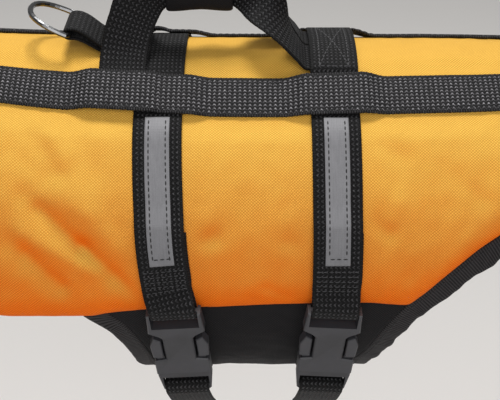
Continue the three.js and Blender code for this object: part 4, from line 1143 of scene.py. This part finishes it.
class JacketCloth(bpy.types.PropertyGroup):
    thread_along: FloatProperty(
        name="Thread pitch along", description="Width of one thread of the oxford cloth along the body, in mm",
        default=0.8, min=0.2, max=4,
    )
    thread_across: FloatProperty(
        name="Thread pitch across", description="Width of one thread of the oxford cloth round the body, in mm",
        default=0.74, min=0.2, max=4,
    )
    wrinkle_depth: FloatProperty(
        name="Wrinkle depth", description="How deep the cloth creases and puckers, 1 as new and worn",
        default=1.0, min=0, max=2, subtype="FACTOR",
    )
    # Painted light: the lit top colour and the shaded low colour stand in for the overhead light falling on the
    # cloth.
    lit_top_colour: FloatVectorProperty(
        name="Upper cloth colour", description="Colour of the cloth where it faces up",
        default=(0.87, 0.53, 0.092), size=3, min=0, max=1, subtype="COLOR",
    )
    shaded_low_colour: FloatVectorProperty(
        name="Lower cloth colour", description="Colour of the cloth where it faces sideways and down",
        default=(0.93, 0.18, 0.002), size=3, min=0, max=1, subtype="COLOR",
    )


class JacketWebbing(bpy.types.PropertyGroup):
    rib_pitch: FloatProperty(
        name="Rib pitch", description="Distance between two rows of bumps along the webbing, in mm",
        default=2.6, min=0.5, max=6,
    )
    tooth: FloatProperty(
        name="Selvage tooth", description="How far the webbing's edge waves in at each rib, in mm",
        default=0.12, min=0, max=0.6,
    )


class JacketStage(bpy.types.PropertyGroup):
    floor_drop: FloatProperty(
        name="Floor drop", description="Height of the worn jacket's spine above the floor",
        default=0.42, min=0.19, max=2, unit="LENGTH",
    )
    floor_colour: FloatVectorProperty(
        name="Floor colour", description="Colour of the plain studio floor",
        default=(0.81, 0.795, 0.78), size=3, min=0, max=1, subtype="COLOR",
    )
    key_power: FloatProperty(
        name="Key light", description="Power of the soft light above and behind, in watts",
        default=15.5, min=0, max=1000, unit="POWER",
    )
    fill_power: FloatProperty(
        name="Fill light", description="Power of the large soft light in front, in watts",
        default=14, min=0, max=1000, unit="POWER",
    )
    world_light: FloatProperty(
        name="Room light", description="Strength of the even light from all round",
        default=0.24, min=0, max=5,
    )


class JacketOperator(bpy.types.Operator):
    bl_options = {"REGISTER", "UNDO"}


class JACKET_OT_camera(JacketOperator):
    """Places the camera above the buckle side, aimed at the middle of the body"""

    bl_idname = "jacket.camera"
    bl_label = "Camera"

    def execute(self, context):
        elevation = math.radians(CAMERA["elevation"])
        away = CAMERA["away"]
        lens = bpy.data.cameras.new("camera")
        lens.sensor_width = CAMERA["sensor"]
        lens.lens = CAMERA["focal_px"] / CAMERA["photo_px"] * CAMERA["sensor"]
        lens.clip_start = 0.01
        camera = linked("camera", lens)
        camera.location = (0, -away * math.cos(elevation), CAMERA["aim_z"] + away * math.sin(elevation))
        camera.rotation_euler = (math.pi / 2 - elevation, 0, 0)
        context.scene.camera = camera
        return {"FINISHED"}


class JACKET_OT_stage(JacketOperator):
    """Makes the plain pale floor and the soft studio light"""

    bl_idname = "jacket.stage"
    bl_label = "Stage"

    def light(self, name, power, place, aim, size, colour):
        data = bpy.data.lights.new(name, "AREA")
        data.shape = "RECTANGLE"
        data.size, data.size_y = size
        data.energy = power
        data.color = colour
        made = linked(name, data)
        made.location = place
        made.rotation_euler = (Vector(aim) - Vector(place)).to_track_quat("-Z", "Y").to_euler()

    def execute(self, context):
        settings = context.scene.jacket_stage
        corners = [(-1, -1), (1, -1), (1, 1), (-1, 1)]
        corners = [(x * FLOOR_HALF, y * FLOOR_HALF, -settings.floor_drop) for x, y in corners]
        mesh = bpy.data.meshes.new("floor")
        mesh.from_pydata(corners, [], [(0, 1, 2, 3)])
        mesh.materials.append(floor_finish(settings.floor_colour))
        linked("floor", mesh)
        for name, power in (("key", settings.key_power), ("fill", settings.fill_power)):
            self.light(name, power, **LIGHTS[name])
        world = bpy.data.worlds.new("room")
        world.use_nodes = True
        background = world.node_tree.nodes["Background"]
        background.inputs["Color"].default_value = ROOM_COLOUR
        background.inputs["Strength"].default_value = settings.world_light
        context.scene.world = world
        context.scene.view_settings.view_transform = "Standard"
        return {"FINISHED"}


class JACKET_OT_panels(JacketOperator):
    """Makes the three foam panels in orange oxford cloth, with their folds and puckers"""

    bl_idname = "jacket.panels"
    bl_label = "Foam panels"

    def panel(self, context, name, node, columns, phis, side, fill):
        outer, inner, weave = foam_grid(columns, phis, side, context.scene.jacket_cloth.wrinkle_depth)
        made = walled(name, outer, inner, weave, **cloth_of(context, "orange"))
        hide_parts(node)

    def execute(self, context):
        seam = GAP / 2 / MM_PER_DEGREE
        for (name, side), across, along in zip(SIDES, (90, 64), (290, 200)):
            columns = FRONT_X + (TAIL_X - FRONT_X) * eased(along)
            top = webbing_line(columns) + seam
            phis = top + (lower_edge(columns) - top) * eased(across)[:, None]
            self.panel(context, f"side_cloth_{name}", f"side_panel_{name}", columns, phis, side, 0.55)
        columns = FRONT_X + (TAIL_X - FRONT_X) * eased(250)
        phis = np.linspace(-1, 1, 56)[:, None] * (webbing_line(columns) - seam)
        self.panel(context, "back_cloth", "back_panel", columns, phis, 1, 0.5)
        return {"FINISHED"}


class JACKET_OT_belly(JacketOperator):
    """Makes the black belly panel, drawn towards the buckles"""

    bl_idname = "jacket.belly"
    bl_label = "Belly panel"

    def execute(self, context):
        v, u = np.meshgrid(np.linspace(-1, 1, 181), eased(60), indexing="ij")
        x, phi = belly_place(u, v)
        arc = phi * MM_PER_DEGREE
        inside = smooth(u / 0.12) * smooth((1 - u) / 0.12) * smooth((1 - np.abs(v)) / 0.06)
        drawn = 0.5 * ripple(x * 1.2, arc * 0.45, 14, 6.3) + 0.25 * ripple(x, arc, 7, 2.2)
        under = np.clip(strap_pressure(x, phi), 0, 1)
        lift = (drawn - 0.3) * inside * (1 - under)
        outer = on_form(x, phi, BELLY_OUTSIDE + np.minimum(lift, 0.6))
        inner = on_form(x, phi, BELLY_INSIDE)
        weave = np.stack([x, arc], -1)
        made = walled("belly_cloth", outer, inner, weave, **cloth_of(context, "black"))
        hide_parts("belly_panel")
        return {"FINISHED"}


class JACKET_OT_chest_band(JacketOperator):
    """Makes the padded band round the front of the chest"""

    bl_idname = "jacket.chest_band"
    bl_label = "Chest band"

    def execute(self, context):
        share, angle = np.meshgrid(eased(28, 0.8), np.linspace(0, np.pi, 110), indexing="ij")
        phi, reach, front_z = (top + (low - top) * share for top, low in zip(CHEST_TOP, CHEST_LOW))
        start = on_form(swept_x(np.full_like(phi, FRONT_X), phi) - GAP, phi, BELLY_INSIDE)
        forward = np.sin(angle)
        centre = np.stack([
            start[..., 0] - reach * forward,
            start[..., 1] * np.cos(angle),
            start[..., 2] + (front_z - start[..., 2]) * forward,
        ], -1)
        normal = unit(np.cross(np.gradient(centre, axis=0), np.gradient(centre, axis=1)))
        facing = ((centre - CHEST_MIDDLE) * normal).sum(-1, keepdims=True)
        normal = normal * np.where(facing < 0, -1, 1)
        rolled = roll(np.minimum(share, 1 - share) * 6)
        length = angle * 95
        soft = ripple(length, share * 40, 16, 1.9) * 0.35 * rolled
        height = CHEST_EDGE + (CHEST_THICKNESS - CHEST_EDGE) * rolled + soft
        outer = centre + normal * height[..., None]
        weave = np.stack([length, share * 42], -1)
        made = walled("chest_cloth", outer, centre, weave, **cloth_of(context, "black"))
        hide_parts("chest_band")
        return {"FINISHED"}


class JACKET_OT_back_webbings(JacketOperator):
    """Makes the two long webbings over the seams of the back, with their edge stitching"""

    bl_idname = "jacket.back_webbings"
    bl_label = "Back webbings"

    def execute(self, context):
        settings = context.scene.jacket_webbing
        start, end = LONG_WEBBING
        column = np.arange(start, end + 0.01, BAND_STEP)
        v = np.array([-0.5, -0.485, -0.45, -0.3, -0.15, 0, 0.15, 0.3, 0.45, 0.485, 0.5])
        columns, shares = np.broadcast_arrays(column[None, :], v[:, None])
        tooth = settings.tooth * (1 - np.cos(2 * np.pi * (column - start) / settings.rib_pitch))
        round_off = 0.3 * smooth((np.abs(shares) - 0.44) / 0.06)
        for name, side in SIDES:
            phi = side * (webbing_line(columns) + shares * (WEBBING_WIDTH - 2 * tooth) / MM_PER_DEGREE)
            soft = np.maximum(0.12 * ripple(columns, shares * 25, 15, 7.7 + side), 0)
            x, low = swept_x(columns, phi), under_long(columns, shares, side)
            outer = on_form(x, phi, low + WEBBING_THICKNESS + soft - round_off)
            inner = on_form(x, phi, low + round_off)
            weave = np.stack([columns, shares * WEBBING_WIDTH], -1)
            made = walled(f"webbing_back_{name}", outer, inner, weave, **cloth_of(context, "long"))
            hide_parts(f"back_webbing_{name}")
            lines, at = [], column[::3]
            for edge in (-LONG_SEAM, LONG_SEAM):
                turn = side * (webbing_line(at) + edge * WEBBING_WIDTH / MM_PER_DEGREE)
                lift = under_long(at, edge, side) + WEBBING_THICKNESS
                place = swept_x(at, turn)
                lines.append((on_form(place, turn, lift + 0.1), form_normal(place, turn)))
            stitches(context, f"stitches_back_{name}", lines, "seam")
        return {"FINISHED"}


class JACKET_OT_girth_straps(JacketOperator):
    """Makes the two girth straps round back, buckles and belly, with their sewn ends"""

    bl_idname = "jacket.girth_straps"
    bl_label = "Girth straps"

    def execute(self, context):
        for place in GIRTHS:
            band = girth_band(place)
            strap_piece(
                context, band, f"webbing_girth_{place}", f"girth_strap_{place}",
            )
            sewn = np.linspace(*(band.at_phi(phi) for phi in SEWN_PHIS), SEWN_ROWS)
            rows = [(length, -SEWN_HALF, length, SEWN_HALF) for length in sewn]
            if place == "rear":
                rows += boxed(*(band.at_phi(phi) for phi in BOX_PHIS))
            stitches(context, f"stitches_girth_{place}", band.lines(rows), "box")
        return {"FINISHED"}


class JACKET_OT_reflective_strips(JacketOperator):
    """Makes the four reflective strips, sewn to the girth straps"""

    bl_idname = "jacket.reflective_strips"
    bl_label = "Reflective strips"

    def execute(self, context):
        start, half = STRIP_SEAM["start"], STRIP_SEAM["half"]
        for place in GIRTHS:
            for name, side in SIDES:
                band = reflective_band(GIRTHS[place][0], side)
                made = band.mesh(f"strip_{place}_{name}", **cloth_of(context, "film"))
                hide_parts(f"reflective_{place}_{name}")
                end = band.end - STRIP_SEAM["before_end"]
                rows = [(start, -half, end, -half), (start, half, end, half), (end, -half, end, half)]
                stitches(context, f"stitches_strip_{place}_{name}", band.lines(rows, -side), "strip")
        return {"FINISHED"}


class JACKET_OT_bindings(JacketOperator):
    """Makes the binding tapes of the rear opening, the belly panel's front and the neck"""

    bl_idname = "jacket.bindings"
    bl_label = "Binding tapes"

    def execute(self, context):
        front = belly_edge(0.0, [0.985, *np.linspace(0.93, -0.93, 61), -0.985])
        neck = swept_edge([(FRONT_X, phi) for phi in np.linspace(-70.5, 70.5, 47)])
        # Piece, node, edge, side of the edge, width and how far it gathers.
        tapes = (
            ("tape_rear", "rear_binding", rear_edge(), -1, 11.4, 1.2, {"closed": True}),
            ("tape_belly_front", "belly_front_binding", front, 1, 11, 0.25, {"mitred": True}),
            ("tape_neck", "neck_binding", neck, 1, 10, 0.3, {}),
        )
        lines = []
        for name, node, edge, outward, width, gather, kept in tapes:
            made, row = bound_edge(context, name, edge, outward, width, gather, **kept)
            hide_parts(node)
            lines.append(row)
        stitches(context, "stitches_tape", lines, "tape")
        return {"FINISHED"}


class JACKET_OT_buckles(JacketOperator):
    """Rounds the edges of the buckles' moulded halves"""

    bl_idname = "jacket.buckles"
    bl_label = "Buckles"

    def execute(self, context):
        for half in ("socket", "prong"):
            for place in GIRTHS:
                node = f"buckle_{half}_{place}"
                made = refinished(f"moulding_{half}_{place}", node, finish_of(context, "plastic"))
                bevel = made.modifiers.new("eased_edges", "BEVEL")
                bevel.width = 0.35 * MM
                bevel.segments = 2
                bevel.limit_method = "ANGLE"
                bevel.angle_limit = math.radians(28)
                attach(made, "jacket")
                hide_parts(node)
        return {"FINISHED"}


class JACKET_OT_handle(JacketOperator):
    """Makes the lifting handle: two webbings and the padded grip round them"""

    bl_idname = "jacket.handle"
    bl_label = "Handle"

    def execute(self, context):
        for name, side in SIDES:
            band, node = handle_band(side), f"handle_webbing_{name}"
            strap_piece(context, band, f"webbing_handle_{name}", node)
        rings, weave = grip_rings()
        made = lofted("grip_sleeve", rings, weave, True, **cloth_of(context, "black"))
        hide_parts("handle_grip")
        return {"FINISHED"}


class JACKET_OT_ring(JacketOperator):
    """Makes the webbing loop and the D-ring that turns in it"""

    bl_idname = "jacket.ring"
    bl_label = "Lead ring"

    def execute(self, context):
        band = ring_loop_band()
        strap_piece(context, band, "webbing_ring_loop", "ring_loop")
        last, first = band.end - LOOP_SEAM["last"], band.end - LOOP_SEAM["first"]
        half = LOOP_SEAM["half"]
        rows = [(last, -half, last, half), (first, -half, first, half)]
        rows += [(last, -half, first, half), (last, half, first, -half)]
        stitches(context, "stitches_ring_loop", band.lines(rows, -1), "box")
        ring = refinished("ring_wire", "d_ring", finish_of(context, "steel"))
        ring.data.polygons.foreach_set("use_smooth", [True] * len(ring.data.polygons))
        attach(ring, "ring")
        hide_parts("d_ring")
        return {"FINISHED"}


BUILDERS = (
    JACKET_OT_camera,
    JACKET_OT_stage,
    JACKET_OT_panels,
    JACKET_OT_belly,
    JACKET_OT_chest_band,
    JACKET_OT_back_webbings,
    JACKET_OT_girth_straps,
    JACKET_OT_reflective_strips,
    JACKET_OT_bindings,
    JACKET_OT_buckles,
    JACKET_OT_handle,
    JACKET_OT_ring,
)


class JACKET_PT_pieces(bpy.types.Panel):
    """Lists the settings and the pieces in the order in which they are made"""

    bl_label = "Dog life jacket"
    bl_idname = "JACKET_PT_pieces"
    bl_space_type = "VIEW_3D"
    bl_region_type = "UI"
    bl_category = "Jacket"

    def draw(self, context):
        for key in GROUPS:
            group, box = getattr(context.scene, key), self.layout.box()
            for name in group.__annotations__:
                box.prop(group, name)
        for builder in BUILDERS:
            self.layout.operator(builder.bl_idname)


GROUPS = {"jacket_cloth": JacketCloth, "jacket_webbing": JacketWebbing, "jacket_stage": JacketStage}


def register():
    for name, group in GROUPS.items():
        bpy.utils.register_class(group)
        setattr(bpy.types.Scene, name, PointerProperty(type=group))
    for builder in (*BUILDERS, JACKET_PT_pieces):
        bpy.utils.register_class(builder)


def unregister():
    for builder in reversed((*BUILDERS, JACKET_PT_pieces)):
        bpy.utils.unregister_class(builder)
    for name, group in GROUPS.items():
        delattr(bpy.types.Scene, name)
        bpy.utils.unregister_class(group)


def main():
    register()
    for builder in BUILDERS:
        group, name = builder.bl_idname.split(".")
        getattr(getattr(bpy.ops, group), name)()


if __name__ == "__main__":
    main()
